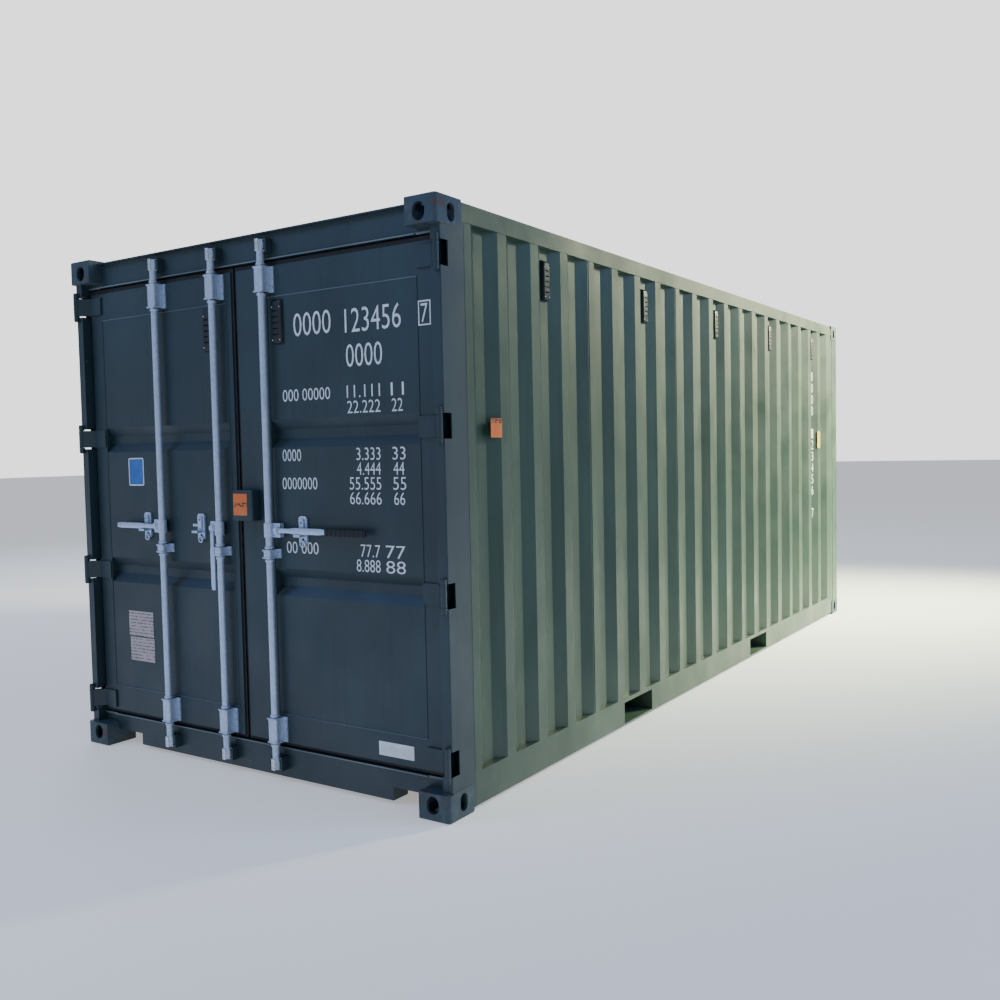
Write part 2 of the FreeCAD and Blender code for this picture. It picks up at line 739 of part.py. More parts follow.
def retainer(x):
    """Handle catch: a plate on the door with a lip that the handle rests on."""
    half = retainer_width / 2
    low, high = handle_height - retainer_below_handle, handle_height + retainer_above_handle
    plate_solid = box(x - half, x + half, door_face - retainer_plate, door_face, low, high)
    corners = [e for e in plate_solid.Edges if e.BoundBox.YLength > 1]
    plate_solid = plate_solid.makeFillet(half * retainer_round, corners)
    seat = handle_height - handle_bar_height / 2 - retainer_seat_gap
    lip = box(x - half, x + half * retainer_round, door_face - retainer_lip_reach, door_face,
              seat - retainer_lip, seat)
    centre = Vector(x, door_face - retainer_plate - 1, low + retainer_eye_height)
    eye = Part.makeCylinder(retainer_eye_radius, retainer_plate + 2, centre, Vector(0, 1, 0))
    return fuse([plate_solid, lip]).cut(eye)


def lock_rod(x, hub_sign):
    """Locking rod with a cam at each end and the hub that its handle turns on."""
    y = rod_y
    shaft = rod(rod_radius, x, y, rod_bottom, rod_top)
    pieces = [shaft]
    for low in (rod_bottom, rod_top - cam_height):
        disc = rod(cam_radius, x, y, low + cam_neck, low + cam_height - cam_neck)
        flat = box(x - cam_radius, x + cam_radius, y - cam_radius - 1, y - cam_flat,
                   low - 1, low + cam_height + 1)
        pieces.append(disc.cut(flat))
    z0, z1 = handle_height - hub_height / 2, handle_height + hub_height / 2
    collar = rod(rod_radius + hub_wall, x, y, z0, z1)
    x0, x1 = stretched(x, x + hub_sign * hub_reach)
    block = box(x0, x1, handle_back_y, door_face - hub_back_gap, z0, z1)
    return fuse(pieces + [collar, block])


def lever(x, sign, hanging, gripped):
    """Flat handle with an eye at the hub; it lies along X, or hangs down."""
    pivot_x = x + sign * hub_pin_reach
    back, front = handle_back, handle_front
    half = handle_bar_height / 2
    eye = Part.makeCylinder(half + handle_eye_rim, handle_bar_thickness,
                            Vector(pivot_x, front, handle_height), Vector(0, 1, 0))
    reach = handle_silver - hub_pin_reach
    bar = box(pivot_x, pivot_x + sign * reach, front, back, handle_height - half, handle_height + half)
    body = fuse([eye, bar])
    if hanging:
        body = body.rotate(Vector(pivot_x, 0, handle_height), Vector(0, 1, 0), 90 * sign)
    hole = Part.makeCylinder(hub_pin_radius + hinge_fit, handle_bar_thickness + 2,
                             Vector(pivot_x, front - 1, handle_height), Vector(0, 1, 0))
    tip = pivot_x + sign * reach
    grip = None
    if gripped:
        grip = box(tip, tip + sign * grip_length, front - grip_rim, back + grip_rim,
                   handle_height - grip_height / 2, handle_height + grip_height / 2)
    return body.cut(hole), grip, pivot_x


def hub_pin(pivot_x):
    """Pivot pin on the hub with a head that keeps the handle on."""
    start = Vector(pivot_x, handle_front - 1, handle_height)
    shank = Part.makeCylinder(hub_pin_radius, handle_back_y - handle_front + 2, start, Vector(0, 1, 0))
    cap = Vector(pivot_x, handle_front - 1 - hub_head_height, handle_height)
    head = Part.makeCylinder(hub_head_radius, hub_head_height, cap, Vector(0, 1, 0))
    return fuse([shank, head])


def cam_keeper(x, z0, z1):
    """Keeper on the header or sill: a plate and two fingers beside the cam."""
    half = cam_radius + cam_clearance
    back = box(x - half - cam_finger, x + half + cam_finger, beam_face - keeper_plate, beam_face, z0, z1)
    fingers = [box(x + s * half, x + s * (half + cam_finger), beam_face - keeper_depth, beam_face, z0, z1)
               for s in (-1, 1)]
    return fuse([back] + fingers)


def lock_box():
    """Open-bottomed steel box that shields a padlock, welded to the right door."""
    low = handle_height + lock_box_above_handle
    high = low + lock_box_height
    outer = box(lock_box_left, lock_box_right, door_face - lock_box_depth, door_face, low, high)
    inner = box(lock_box_left + lock_box_wall, lock_box_right - lock_box_wall,
                door_face - lock_box_depth + lock_box_wall, door_face + 1,
                low - 1, high - lock_box_wall)
    return outer.cut(inner)


def door_vent(x):
    """Ventilator cover on a door panel."""
    face = door_face
    half = door_vent_width / 2
    z1 = leaf_top - door_vent_below_leaf
    z0 = z1 - door_vent_height
    outline = [(x - half, face, z0), (x - half, face - door_vent_depth, z0),
               (x - half, face - door_vent_depth, z1 - door_vent_depth), (x - half, face, z1)]
    return prism(outline, (door_vent_width, 0, 0))


def build():
    """Write every node of the container."""
    for level, is_top in (("top", True), ("bottom", False)):
        pair = both_sides(casting(is_top))
        save(f"front_{level}_castings", pair)
        save(f"rear_{level}_castings", [mirrored(block, "y") for block in pair])
    save("rear_corner_posts", both_sides(rear_post()))
    save("front_corner_posts", both_sides(front_post()))
    save("door_header", [header()])
    save("door_sill", [sill()])
    save("front_top_rail", [front_top_rail()])
    save("front_sill", [front_sill()])
    save("top_side_rails", both_sides(top_side_rail()))
    save("bottom_side_rails", both_sides(bottom_side_rail()))
    save("fork_pocket_rear", [fork_pocket(pocket_centres[0])])
    save("fork_pocket_front", [fork_pocket(pocket_centres[1])])
    save("cross_members", cross_members())
    save("plywood_floor", [floor()])
    right_wall = side_wall()
    save("side_wall_right", [right_wall])
    save("side_wall_left", [mirrored(right_wall)])
    vents = side_vents()
    save("side_vents", vents + [mirrored(v) for v in vents])
    save("front_wall", [front_wall()])
    save("roof_sheet", [roof()])
    save("roof_end_plates", roof_end_plates())
    pins = [hinge_pin_solid(z) for z in hinge_heights]
    save("hinge_pins", pins + [mirrored(p) for p in pins])
    top_span = (rod_top - cam_height - keeper_past_cam, rod_top + keeper_past_rod)
    bottom_span = (rod_bottom - keeper_past_rod, rod_bottom + cam_height + keeper_past_cam)
    bracket_spans = (
        (leaf_bottom + bracket_from_leaf_end, leaf_bottom + bracket_from_leaf_end + bracket_height,
         bracket_width),
        (handle_height - guide_below_handle - guide_height, handle_height - guide_below_handle,
         guide_width),
        (leaf_top - bracket_from_leaf_end - bracket_height, leaf_top - bracket_from_leaf_end,
         bracket_width))
    save("cam_keepers", [cam_keeper(x, *span) for span in (top_span, bottom_span)
                         for x in rod_places.values()])

    leaves = {"right": (right_inner_edge, leaf_outer_edge, right_inner_stile),
              "left": (left_inner_edge, -leaf_outer_edge, left_inner_stile)}
    straps = [hinge_strap_solid(z) for z in hinge_heights]
    for side, (inner_edge, outer_edge, inner_stile) in leaves.items():
        save(f"door_frame_{side}", [leaf_frame(inner_edge, outer_edge, inner_stile)])
        save(f"door_panel_{side}", [leaf_panel(inner_edge, outer_edge, inner_stile)])
        save(f"door_gasket_{side}", [leaf_gasket(inner_edge, outer_edge)])
        save(f"door_hinges_{side}", straps if side == "right" else [mirrored(s) for s in straps])
        names = [n for n in rod_places if n.startswith(side)]
        save(f"rod_brackets_{side}", [rod_bracket(rod_places[n], *span) for n in names
                                      for span in bracket_spans])
        save(f"handle_retainers_{side}", [retainer(retainer_places[n]) for n in names])
        save(f"door_vent_{side}", [door_vent(door_vent_places[side])])
    save("lock_box", [lock_box()])
    handles = {"left_outer": (-1, False, False), "left_inner": (-1, True, False), "right": (1, False, True)}
    for name, (sign, hanging, gripped) in handles.items():
        x = rod_places[name]
        bar, grip, pivot_x = lever(x, sign, hanging, gripped)
        save(f"lock_rod_{name}", [fuse([lock_rod(x, sign), hub_pin(pivot_x)])])
        save(f"handle_{name}", [bar])
        if grip:
            save(f"handle_grip_{name}", [grip])
        print("pivot", name, pivot_x, handle_back_y, handle_height)
    print("hinge axis", hinge_x, hinge_y, "rod axis y", rod_y)


os.makedirs("parts", exist_ok=True)
build()
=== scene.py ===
"""Blender model of a 20 ft dry freight container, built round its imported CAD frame.

Metres, +Z up, doors at the -Y end, right and left as seen from in front of the doors.  Each
sub-assembly is a class that keeps its sizes as fields, models its pieces with edit-mode tools and
dresses them in a procedural finish.  The CAD nodes stay where they are and get finishes too.
"""
import json
import logging
import math
from dataclasses import dataclass, replace
from enum import Enum
from typing import Any, Callable, Iterable, Sequence

import bpy
from mathutils import Matrix, Vector


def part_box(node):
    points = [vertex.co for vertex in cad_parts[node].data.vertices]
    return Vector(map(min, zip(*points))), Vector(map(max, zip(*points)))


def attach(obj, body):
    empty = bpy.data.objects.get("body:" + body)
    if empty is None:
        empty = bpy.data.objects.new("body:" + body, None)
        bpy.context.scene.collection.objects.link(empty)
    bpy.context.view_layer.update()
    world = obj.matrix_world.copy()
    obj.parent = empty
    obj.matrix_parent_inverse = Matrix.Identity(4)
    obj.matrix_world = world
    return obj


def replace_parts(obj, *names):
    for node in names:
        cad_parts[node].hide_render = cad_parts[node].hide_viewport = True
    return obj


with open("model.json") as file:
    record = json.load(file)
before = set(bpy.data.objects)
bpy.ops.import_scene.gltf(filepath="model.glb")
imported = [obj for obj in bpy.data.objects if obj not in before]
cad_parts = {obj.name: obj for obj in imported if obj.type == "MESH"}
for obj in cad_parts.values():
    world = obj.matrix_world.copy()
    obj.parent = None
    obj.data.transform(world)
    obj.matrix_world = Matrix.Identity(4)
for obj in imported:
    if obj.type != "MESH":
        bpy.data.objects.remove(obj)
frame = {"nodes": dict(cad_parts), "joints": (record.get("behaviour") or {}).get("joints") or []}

log = logging.getLogger("container")
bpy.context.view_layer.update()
MM = 0.001
Piece = bpy.types.Object
Point = tuple[float, float, float]
JOINTS = {joint["name"]: joint for joint in frame["joints"]}
DOOR_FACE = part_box("door_frame_right")[0].y


class Body(Enum):
    """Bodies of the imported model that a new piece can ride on."""

    FRAME = "frame"
    RIGHT_DOOR = "door_right"
    LEFT_DOOR = "door_left"


class Slot(Enum):
    """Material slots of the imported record."""

    CASTING = "painted_castings"
    PLYWOOD = "plywood"
    RUBBER = "rubber"
    ZINC = "galvanised_steel"
    VENT = "vent_plastic"
    STEEL = "painted_steel"


class Along(Enum):
    """Direction of a round piece's axis, as the turn that brings +Z onto it."""

    X = (0.0, math.pi / 2, 0.0)
    Y = (math.pi / 2, 0.0, 0.0)
    Z = (0.0, 0.0, 0.0)


# ------------------------------------------------------------------ finishes
def linear(colour: str) -> tuple[float, float, float, float]:
    """Turns an sRGB hex colour into linear light.

    Args:
        colour: Six hex digits after a hash sign.

    Returns:
        Linear red, green and blue, and an alpha of one.
    """
    channels = [int(colour[i:i + 2], 16) / 255 for i in (1, 3, 5)]
    red, green, blue = [c / 12.92 if c <= 0.04045 else ((c + 0.055) / 1.055) ** 2.4 for c in channels]
    return red, green, blue, 1.0


class Nodes:
    """Node tree of one material, with its shader and its object coordinates ready."""

    def __init__(self, name: str) -> None:
        """Makes the material and empties its tree.

        Args:
            name: Common name of the finish.
        """
        self.material = bpy.data.materials.new(name)
        self.material.use_nodes = True
        self.tree = self.material.node_tree
        self.tree.nodes.clear()
        self.place = self.add("ShaderNodeTexCoord")
        self.shader = self.add("ShaderNodeBsdfPrincipled")
        self.add("ShaderNodeOutputMaterial", links={"Surface": (self.shader, "BSDF")})

    def add(self, kind: str, settings: dict[str, Any] | None = None, values: dict[Any, Any] | None = None,
            links: dict[Any, tuple[Any, Any]] | None = None,
            stops: Sequence[tuple[float, str]] = ()) -> bpy.types.Node:
        """Adds a node with its settings, values and links.

        Args:
            kind: Blender's name for the node.
            settings: Properties of the node.
            values: Constant inputs.
            links: Inputs fed by another node, each as the node and its output.
            stops: Places and sRGB colours of a ramp.

        Returns:
            The new node.
        """
        node = self.tree.nodes.new(kind)
        for key, value in (settings or {}).items():
            setattr(node, key, value)
        for key, value in (values or {}).items():
            node.inputs[key].default_value = value
        for key, (source, output) in (links or {}).items():
            self.tree.links.new(source.outputs[output], node.inputs[key])
        for index, (position, colour) in enumerate(stops):
            ramp = node.color_ramp.elements
            stop = ramp[index] if index < 2 else ramp.new(position)
            stop.position, stop.color = position, linear(colour)
        return node

    def noise(self, size_mm: float, stretch: Point = (1.0, 1.0, 1.0), detail: float = 4.0,
              roughness: float = 0.5) -> tuple[Any, Any]:
        """Cloudy pattern whose features have one real size.

        Args:
            size_mm: Width of a feature.
            stretch: How much longer a feature is along each axis.
            detail: Octaves of finer pattern.
            roughness: Strength of each finer octave.

        Returns:
            The node and its grey output.
        """
        turned = self.add("ShaderNodeMapping", values={"Scale": tuple(1 / s for s in stretch)},
                          links={"Vector": (self.place, "Object")})
        return self.add("ShaderNodeTexNoise", values={"Scale": 1000 / size_mm, "Detail": detail,
                                                      "Roughness": roughness},
                        links={"Vector": (turned, "Vector")}), "Fac"

    def between(self, source: tuple[Any, Any], low: float, high: float, start: float = 0.0,
                end: float = 1.0) -> tuple[Any, Any]:
        """Stretches a part of a grey pattern over a new span, held at its ends.

        Args:
            source: Node and output of the pattern.
            low: Value that becomes the start.
            high: Value that becomes the end.
            start: New value at low.
            end: New value at high.

        Returns:
            The node and its output.
        """
        node = self.add("ShaderNodeMapRange", values={1: low, 2: high, 3: start, 4: end}, links={0: source})
        return node, 0

    def times(self, first: tuple[Any, Any], second: tuple[Any, Any]) -> tuple[Any, Any]:
        """Multiplies two grey patterns."""
        return self.add("ShaderNodeMath", {"operation": "MULTIPLY"}, links={0: first, 1: second}), 0

    def over(self, below: Any, colour: str, amount: tuple[Any, Any]) -> tuple[Any, Any]:
        """Lays a colour over what is below it.

        Args:
            below: Node and output, or an sRGB hex colour.
            colour: The sRGB colour on top.
            amount: How much of it covers, as a node and output.

        Returns:
            The node and its colour output.
        """
        values, links = {"Color2": linear(colour)}, {"Fac": amount}
        if isinstance(below, str):
            values["Color1"] = linear(below)
        else:
            links["Color1"] = below
        return self.add("ShaderNodeMixRGB", values=values, links=links), "Color"

    def bump(self, layers: Iterable[tuple[tuple[Any, Any], float]]) -> None:
        """Feeds the shader's normal from grey patterns.

        Args:
            layers: Each pattern and its real depth in millimetres.
        """
        normal = None
        for pattern, depth_mm in layers:
            links = {"Height": pattern}
            if normal is not None:
                links["Normal"] = (normal, "Normal")
            normal = self.add("ShaderNodeBump", values={"Strength": 1.0, "Distance": depth_mm * MM}, links=links)
        if normal is not None:
            self.tree.links.new(normal.outputs["Normal"], self.shader.inputs["Normal"])

    def shade(self, colour: Any, roughness: Any, metallic: float = 0.0, **uniform: float) -> bpy.types.Material:
        """Sets the shader.

        Args:
            colour: sRGB hex colour, or a node and output.
            roughness: A number, or a node and output.
            metallic: One for bare metal.
            **uniform: Other shader inputs, with _ for a space.

        Returns:
            The finished material.
        """
        self.shader.inputs["Metallic"].default_value = metallic
        for key, value in {"Base Color": colour, "Roughness": roughness}.items():
            if isinstance(value, tuple):
                self.tree.links.new(value[0].outputs[value[1]], self.shader.inputs[key])
            else:
                self.shader.inputs[key].default_value = linear(value) if isinstance(value, str) else value
        for key, value in uniform.items():
            self.shader.inputs[key.replace("_", " ").title()].default_value = value
        return self.material


@dataclass(frozen=True)
class ContainerPaint:
    """Sprayed two-coat container paint over weathering steel.

    The eye sees a chalky dark grey-green with cloudy fading, thin vertical runs of dirt, small
    chips with rust in them, and dust that gathers near the ground.
    """

    name: str
    coat: str = "#2b4334"
    faded: str = "#405a49"
    deep: str = "#1c3029"
    rust: str = "#5d3b29"
    dust: str = "#7d7c72"
    chip: str = "#7f8c90"
    roughness: tuple[float, float] = (0.36, 0.56)
    fade_mm: float = 620.0
    run_mm: float = 34.0
    run_stretch: float = 22.0
    chip_mm: float = 16.0
    rust_at: float = 0.71
    chip_at: float = 0.72
    dust_top: float = 0.55
    peel_mm: float = 7.0       # orange peel is 2 to 3 mm; drawn coarser so that it shows
    peel_depth: float = 0.10
    dent_mm: float = 330.0
    dent_depth: float = 2.6
    highlight_line_z: float = -1.0        # height of a pale line painted as a highlight along an edge; none below the ground
    highlight_line_mm: float = 9.0

    def make(self) -> bpy.types.Material:
        """Builds the material."""
        nodes = Nodes(self.name)
        fade = nodes.noise(self.fade_mm, (1, 1, 1.8), 6, 0.6)
        runs = nodes.noise(self.run_mm, (1, 1, self.run_stretch), 3, 0.55)
        spots = nodes.noise(self.chip_mm, (1, 1, 1.3), 5, 0.62)
        broad = nodes.noise(900, (1, 1, 0.7), 2, 0.5)
        height = nodes.add("ShaderNodeSeparateXYZ", links={"Vector": (nodes.place, "Object")})
        low = nodes.between((height, "Z"), 0.0, self.dust_top, 1.0, 0.0)
        colour = nodes.over(self.coat, self.faded, nodes.between(fade, 0.42, 0.7, 0.0, 0.75))
        colour = nodes.over(colour, self.deep, nodes.between(runs, 0.55, 0.75, 0.0, 0.35))
        colour = nodes.over(colour, self.chip, nodes.times(nodes.between(spots, self.chip_at, self.chip_at + 0.03),
                                                           nodes.between(broad, 0.45, 0.6)))
        dust = nodes.times(low, nodes.between(fade, 0.3, 0.65, 0.0, 0.16))
        colour = nodes.over(colour, self.dust, dust)
        # A pale line of the chip colour at one height: a painted highlight along an edge.
        if self.highlight_line_z > 0:
            line = nodes.add("ShaderNodeMath", {"operation": "COMPARE"}, {1: self.highlight_line_z, 2: self.highlight_line_mm * MM / 2},
                             {0: (height, "Z")})
            colour = nodes.over(colour, self.chip, nodes.times((line, 0), nodes.between(fade, 0.3, 0.6, 0.25, 0.8)))
        rusty = nodes.noise(26, (1, 1, 1.5), 6, 0.68)
        amount = nodes.times(nodes.between(rusty, self.rust_at, self.rust_at + 0.035),
                             nodes.between((height, "Z"), 0.0, 2.6, 1.0, 0.45))
        colour = nodes.over(colour, self.rust, amount)
        rough = nodes.between(nodes.noise(240, detail=5), 0.3, 0.7, *self.roughness)
        nodes.bump([(nodes.noise(self.dent_mm, detail=2), self.dent_depth),
                    (nodes.noise(self.peel_mm, detail=2), self.peel_depth)])
        return nodes.shade(colour, rough, coat_weight=0.12, coat_roughness=0.3)


@dataclass(frozen=True)
class CastPaint:
    """Thick paint on sand-cast steel, worn to brown metal where other boxes were set down."""

    name: str = "painted cast steel"
    coat: str = "#32454f"
    worn: str = "#4d585c"
    rust: str = "#5a3c2b"
    sand_mm: float = 9.0       # sand skin of 1 mm, drawn coarser so that it shows
    sand_depth: float = 0.45

    def make(self) -> bpy.types.Material:
        """Builds the material."""
        nodes = Nodes(self.name)
        patches = nodes.noise(70, detail=6, roughness=0.62)
        scrapes = nodes.noise(22, (1, 1, 2.0), 5, 0.6)
        colour = nodes.over(self.coat, self.worn, nodes.between(scrapes, 0.5, 0.72, 0.0, 0.8))
        colour = nodes.over(colour, self.rust, nodes.between(patches, 0.58, 0.68, 0.0, 0.75))
        nodes.bump([(nodes.noise(self.sand_mm, detail=4), self.sand_depth), (nodes.noise(60), 0.8)])
        return nodes.shade(colour, nodes.between(patches, 0.3, 0.7, 0.45, 0.75), coat_weight=0.05)


@dataclass(frozen=True)
class Zinc:
    """Hot-dip galvanised steel: a pale blue-grey metal with faint crystals and dull streaks."""

    name: str = "galvanised steel"
    bright: str = "#c8d8f0"
    dull: str = "#adc0da"
    stain: str = "#6c6f70"
    crystal_mm: float = 14.0
    roughness: tuple[float, float] = (0.32, 0.52)
    metallic: float = 0.5

    def make(self) -> bpy.types.Material:
        """Builds the material."""
        nodes = Nodes(self.name)
        crystals = nodes.add("ShaderNodeTexVoronoi", values={"Scale": 1000 / self.crystal_mm},
                             links={"Vector": (nodes.place, "Object")})
        grey = nodes.add("ShaderNodeRGBToBW", links={"Color": (crystals, "Color")})
        streak = nodes.noise(18, (1, 1, 12), 4)
        colour = nodes.over(self.bright, self.dull, nodes.between((grey, 0), 0.2, 0.8, 0.1, 0.6))
        colour = nodes.over(colour, self.stain, nodes.between(streak, 0.6, 0.75, 0.0, 0.3))
        nodes.bump([(nodes.noise(12, detail=3), 0.04)])
        return nodes.shade(colour, nodes.between(streak, 0.35, 0.7, *self.roughness), self.metallic)


@dataclass(frozen=True)
class Rubber:
    """Extruded or moulded black rubber: matt, slightly grey, with fine drawn lines."""

    name: str = "black rubber"
    colour: str = "#15181a"
    bloom: str = "#2b2f31"

    def make(self) -> bpy.types.Material:
        """Builds the material."""
        nodes = Nodes(self.name)
        haze = nodes.noise(40, detail=5)
        nodes.bump([(nodes.noise(8, (1, 1, 6), 3), 0.15)])
        return nodes.shade(nodes.over(self.colour, self.bloom, nodes.between(haze, 0.45, 0.7, 0.0, 0.7)),
                           nodes.between(haze, 0.3, 0.7, 0.55, 0.8))


@dataclass(frozen=True)
class Plywood:
    """Oiled marine plywood: reddish brown sheets with long grain, joints and tyre scuffs."""

    name: str = "marine plywood"
    light: str = "#8a6340"
    dark: str = "#5e3f28"
    scuff: str = "#3b332c"
    board_m: tuple[float, float] = (1.16, 2.4)
    joint_mm: float = 3.0

    def make(self) -> bpy.types.Material:
        """Builds the material."""
        nodes = Nodes(self.name)
        grain = nodes.noise(9, (1, 40, 1), 5, 0.6)
        figure = nodes.noise(120, (1, 6, 1), 4)
        scuffs = nodes.noise(160, (1, 3, 1), 5, 0.65)
        boards = nodes.add("ShaderNodeTexBrick", {"offset": 0.0},
                           {"Scale": 1.0, "Mortar Size": self.joint_mm * MM, "Mortar Smooth": 0.1,
                            "Brick Width": self.board_m[0], "Row Height": self.board_m[1],
                            "Color1": (1, 1, 1, 1), "Color2": (1, 1, 1, 1), "Mortar": (0, 0, 0, 1)},
                           {"Vector": (nodes.place, "Object")})
        colour = nodes.over(self.light, self.dark, nodes.between(grain, 0.4, 0.65))
        colour = nodes.over(colour, self.dark, nodes.between(figure, 0.45, 0.7, 0.0, 0.6))
        colour = nodes.over(colour, self.scuff, nodes.between(scuffs, 0.58, 0.72, 0.0, 0.7))
        colour = nodes.over(colour, self.scuff, nodes.between((boards, "Fac"), 0.2, 0.9, 0.0, 0.9))
        nodes.bump([(grain, 0.25), (nodes.between((boards, "Fac"), 0.0, 1.0, 1.0, 0.0), 2.0)])
        return nodes.shade(colour, nodes.between(scuffs, 0.3, 0.7, 0.42, 0.62))


@dataclass(frozen=True)
class Vinyl:
    """Printed vinyl sticker: smooth and slightly glossy, a little bleached and dirty."""

    name: str
    ink: str
    bleached: str
    bar: str = "#ffffff"
    bar_mm: float = 0.0        # pitch of plain printed bars; none if zero
    bar_share: float = 0.5

    def make(self) -> bpy.types.Material:
        """Builds the material."""
        nodes = Nodes(self.name)
        haze = nodes.noise(55, detail=5)
        colour = nodes.over(self.ink, self.bleached, nodes.between(haze, 0.4, 0.7, 0.0, 0.7))
        if self.bar_mm:
            height = nodes.add("ShaderNodeSeparateXYZ", links={"Vector": (nodes.place, "Object")})
            rows = nodes.add("ShaderNodeMath", {"operation": "PINGPONG"}, {1: self.bar_mm * MM / 2},
                             {0: (height, "Z")})
            words = nodes.noise(14, (1, 1, 0.45), 2)
            edge = self.bar_mm * MM / 2 * self.bar_share
            print_mask = nodes.times(nodes.between((rows, 0), edge, edge * 1.15),
                                     nodes.between(words, 0.47, 0.5))
            colour = nodes.over(colour, self.bar, print_mask)
        nodes.bump([(nodes.noise(30), 0.1)])
        return nodes.shade(colour, nodes.between(haze, 0.3, 0.7, 0.28, 0.45))


PAINT = ContainerPaint("container paint")
SHEET_PAINT = ContainerPaint("container paint on pressed sheet", dent_mm=260, dent_depth=3.0)
# Darker, bluer copy of the container paint: painted shade on the doors and the fittings of the door end.
SHADED_DOOR_PAINT = ContainerPaint("container paint on doors", coat="#1f333a", faded="#2e434b", deep="#15242a",
                            dust="#3f4a50", rust_at=0.74)
# Posts carry the same painted shade, with more rust and chips.
SHADED_POST_PAINT = replace(SHADED_DOOR_PAINT, name="container paint on posts", rust_at=0.69, chip_at=0.7)
# Header and sill: the shaded door paint, with a pale line along the door-side edge as a painted highlight.
HEADER_SHADE_AND_HIGHLIGHT_PAINT = replace(SHADED_DOOR_PAINT, name="container paint on header", highlight_line_z=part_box("door_header")[0].z + 0.005)
SILL_SHADE_AND_HIGHLIGHT_PAINT = replace(SHADED_DOOR_PAINT, name="container paint on sill", highlight_line_z=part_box("door_sill")[1].z - 0.005)
# Near-black copy of the container paint: painted shade on the ventilator covers.
SHADED_VENT_PAINT = ContainerPaint("dark vent moulding", coat="#11191e", faded="#1b262c", deep="#0b1013", dent_depth=0.2)
# Lighter copy of the door paint: a painted highlight along the level weld beads.
WELD_HIGHLIGHT_PAINT = ContainerPaint("worn paint on welds", coat="#3a4e59", faded="#586b75", deep="#25363f", peel_depth=0.5)
CASTING = CastPaint()
ZINC = Zinc()
BRIGHT_ZINC = Zinc("bright zinc plate", "#e6edf5", "#c6d2df", "#9aa0a3", 9, (0.18, 0.34), 0.85)
RUBBER = Rubber()
PLYWOOD = Plywood()
WHITE_INK = Vinyl("white marking film", "#e8edf1", "#cfd6da")
ORANGE = Vinyl("orange vinyl", "#e4702f", "#d8824f", "#5a3420", 90.58, 0.72)
BLUE = Vinyl("blue vinyl", "#2466b4", "#3b78bd")
YELLOW = Vinyl("yellow vinyl", "#dcb93a", "#cdb463")
DATA_PLATE = Vinyl("anodised aluminium plate", "#b9adab", "#a69b9b", "#6d6567", 17, 0.55)


class Paintbox:
    """Makes each finish once and hands it out."""

    def __init__(self) -> None:
        """Starts with no material made."""
        self.made: dict[str, bpy.types.Material] = {}

    def get(self, finish: Any) -> bpy.types.Material:
        """Gives the material of a finish, and makes it at its first use."""
        if finish.name not in self.made:
            self.made[finish.name] = finish.make()
        return self.made[finish.name]


PAINTS = Paintbox()


# ------------------------------------------------------------------ modelling
def deselect() -> None:
    """Deselects every object."""
    bpy.ops.object.select_all(action="DESELECT")


def activate(piece: Piece) -> Piece:
    """Selects one piece alone and makes it active."""
    deselect()
    piece.select_set(True)
    bpy.context.view_layer.objects.active = piece
    return piece


def settle(piece: Piece) -> Piece:
    """Moves a piece's place, turn and size into its mesh."""
    activate(piece)
    bpy.ops.object.transform_apply(location=True, rotation=True, scale=True)
    return piece


def block(low: Sequence[float], high: Sequence[float]) -> Piece:
    """Adds a box between two corners."""
    deselect()
    centre = [(a + b) / 2 for a, b in zip(low, high)]
    bpy.ops.mesh.primitive_cube_add(size=1, location=centre, scale=[b - a for a, b in zip(low, high)])
    return settle(bpy.context.active_object)


def round_bar(centre: Sequence[float], along: Along, radius: float, length: float, sides: int = 24) -> Piece:
    """Adds a cylinder about its middle."""
    deselect()
    bpy.ops.mesh.primitive_cylinder_add(vertices=sides, radius=radius, depth=length, location=centre,
                                        rotation=along.value)
    return settle(bpy.context.active_object)


def choose(piece: Piece, test: Callable[[Vector, Vector], bool]) -> None:
    """Enters edit mode with only some faces selected.

    Args:
        piece: The piece to edit.
        test: Takes a face's middle and normal, and says if the face is wanted.
    """
    activate(piece)
    bpy.ops.object.mode_set(mode="EDIT")
    bpy.ops.mesh.select_mode(type="FACE")
    bpy.ops.mesh.select_all(action="DESELECT")
    bpy.ops.object.mode_set(mode="OBJECT")
    for face in piece.data.polygons:
        face.select = test(face.center, face.normal)
    bpy.ops.object.mode_set(mode="EDIT")


def leave_edit() -> None:
    """Goes back to object mode."""
    bpy.ops.object.mode_set(mode="OBJECT")


def soften(piece: Piece, width: float, segments: int = 2, angle: float = 30.0) -> Piece:
    """Rounds the sharp edges with an applied bevel.

    Args:
        piece: The piece.
        width: Width of the rounding.
        segments: Steps in it.
        angle: Edges sharper than this many degrees are rounded.

    Returns:
        The same piece.
    """
    activate(piece)
    bevel = piece.modifiers.new("edge", "BEVEL")
    bevel.width, bevel.segments, bevel.limit_method = width, segments, "ANGLE"
    bevel.angle_limit = math.radians(angle)
    bpy.ops.object.modifier_apply(modifier=bevel.name)
    return piece


def cut(piece: Piece, tool: Piece) -> Piece:
    """Takes one solid out of another and removes the tool."""
    activate(piece)
    boolean = piece.modifiers.new("cut", "BOOLEAN")
    boolean.operation, boolean.object, boolean.solver = "DIFFERENCE", tool, "EXACT"
    bpy.ops.object.modifier_apply(modifier=boolean.name)
    bpy.data.objects.remove(tool)
    return piece


def merge(pieces: Sequence[Piece]) -> Piece:
    """Joins several meshes into the first."""
    deselect()
    for piece in pieces:
        piece.select_set(True)
    bpy.context.view_layer.objects.active = pieces[0]
    if len(pieces) > 1:
        bpy.ops.object.join()
    return pieces[0]


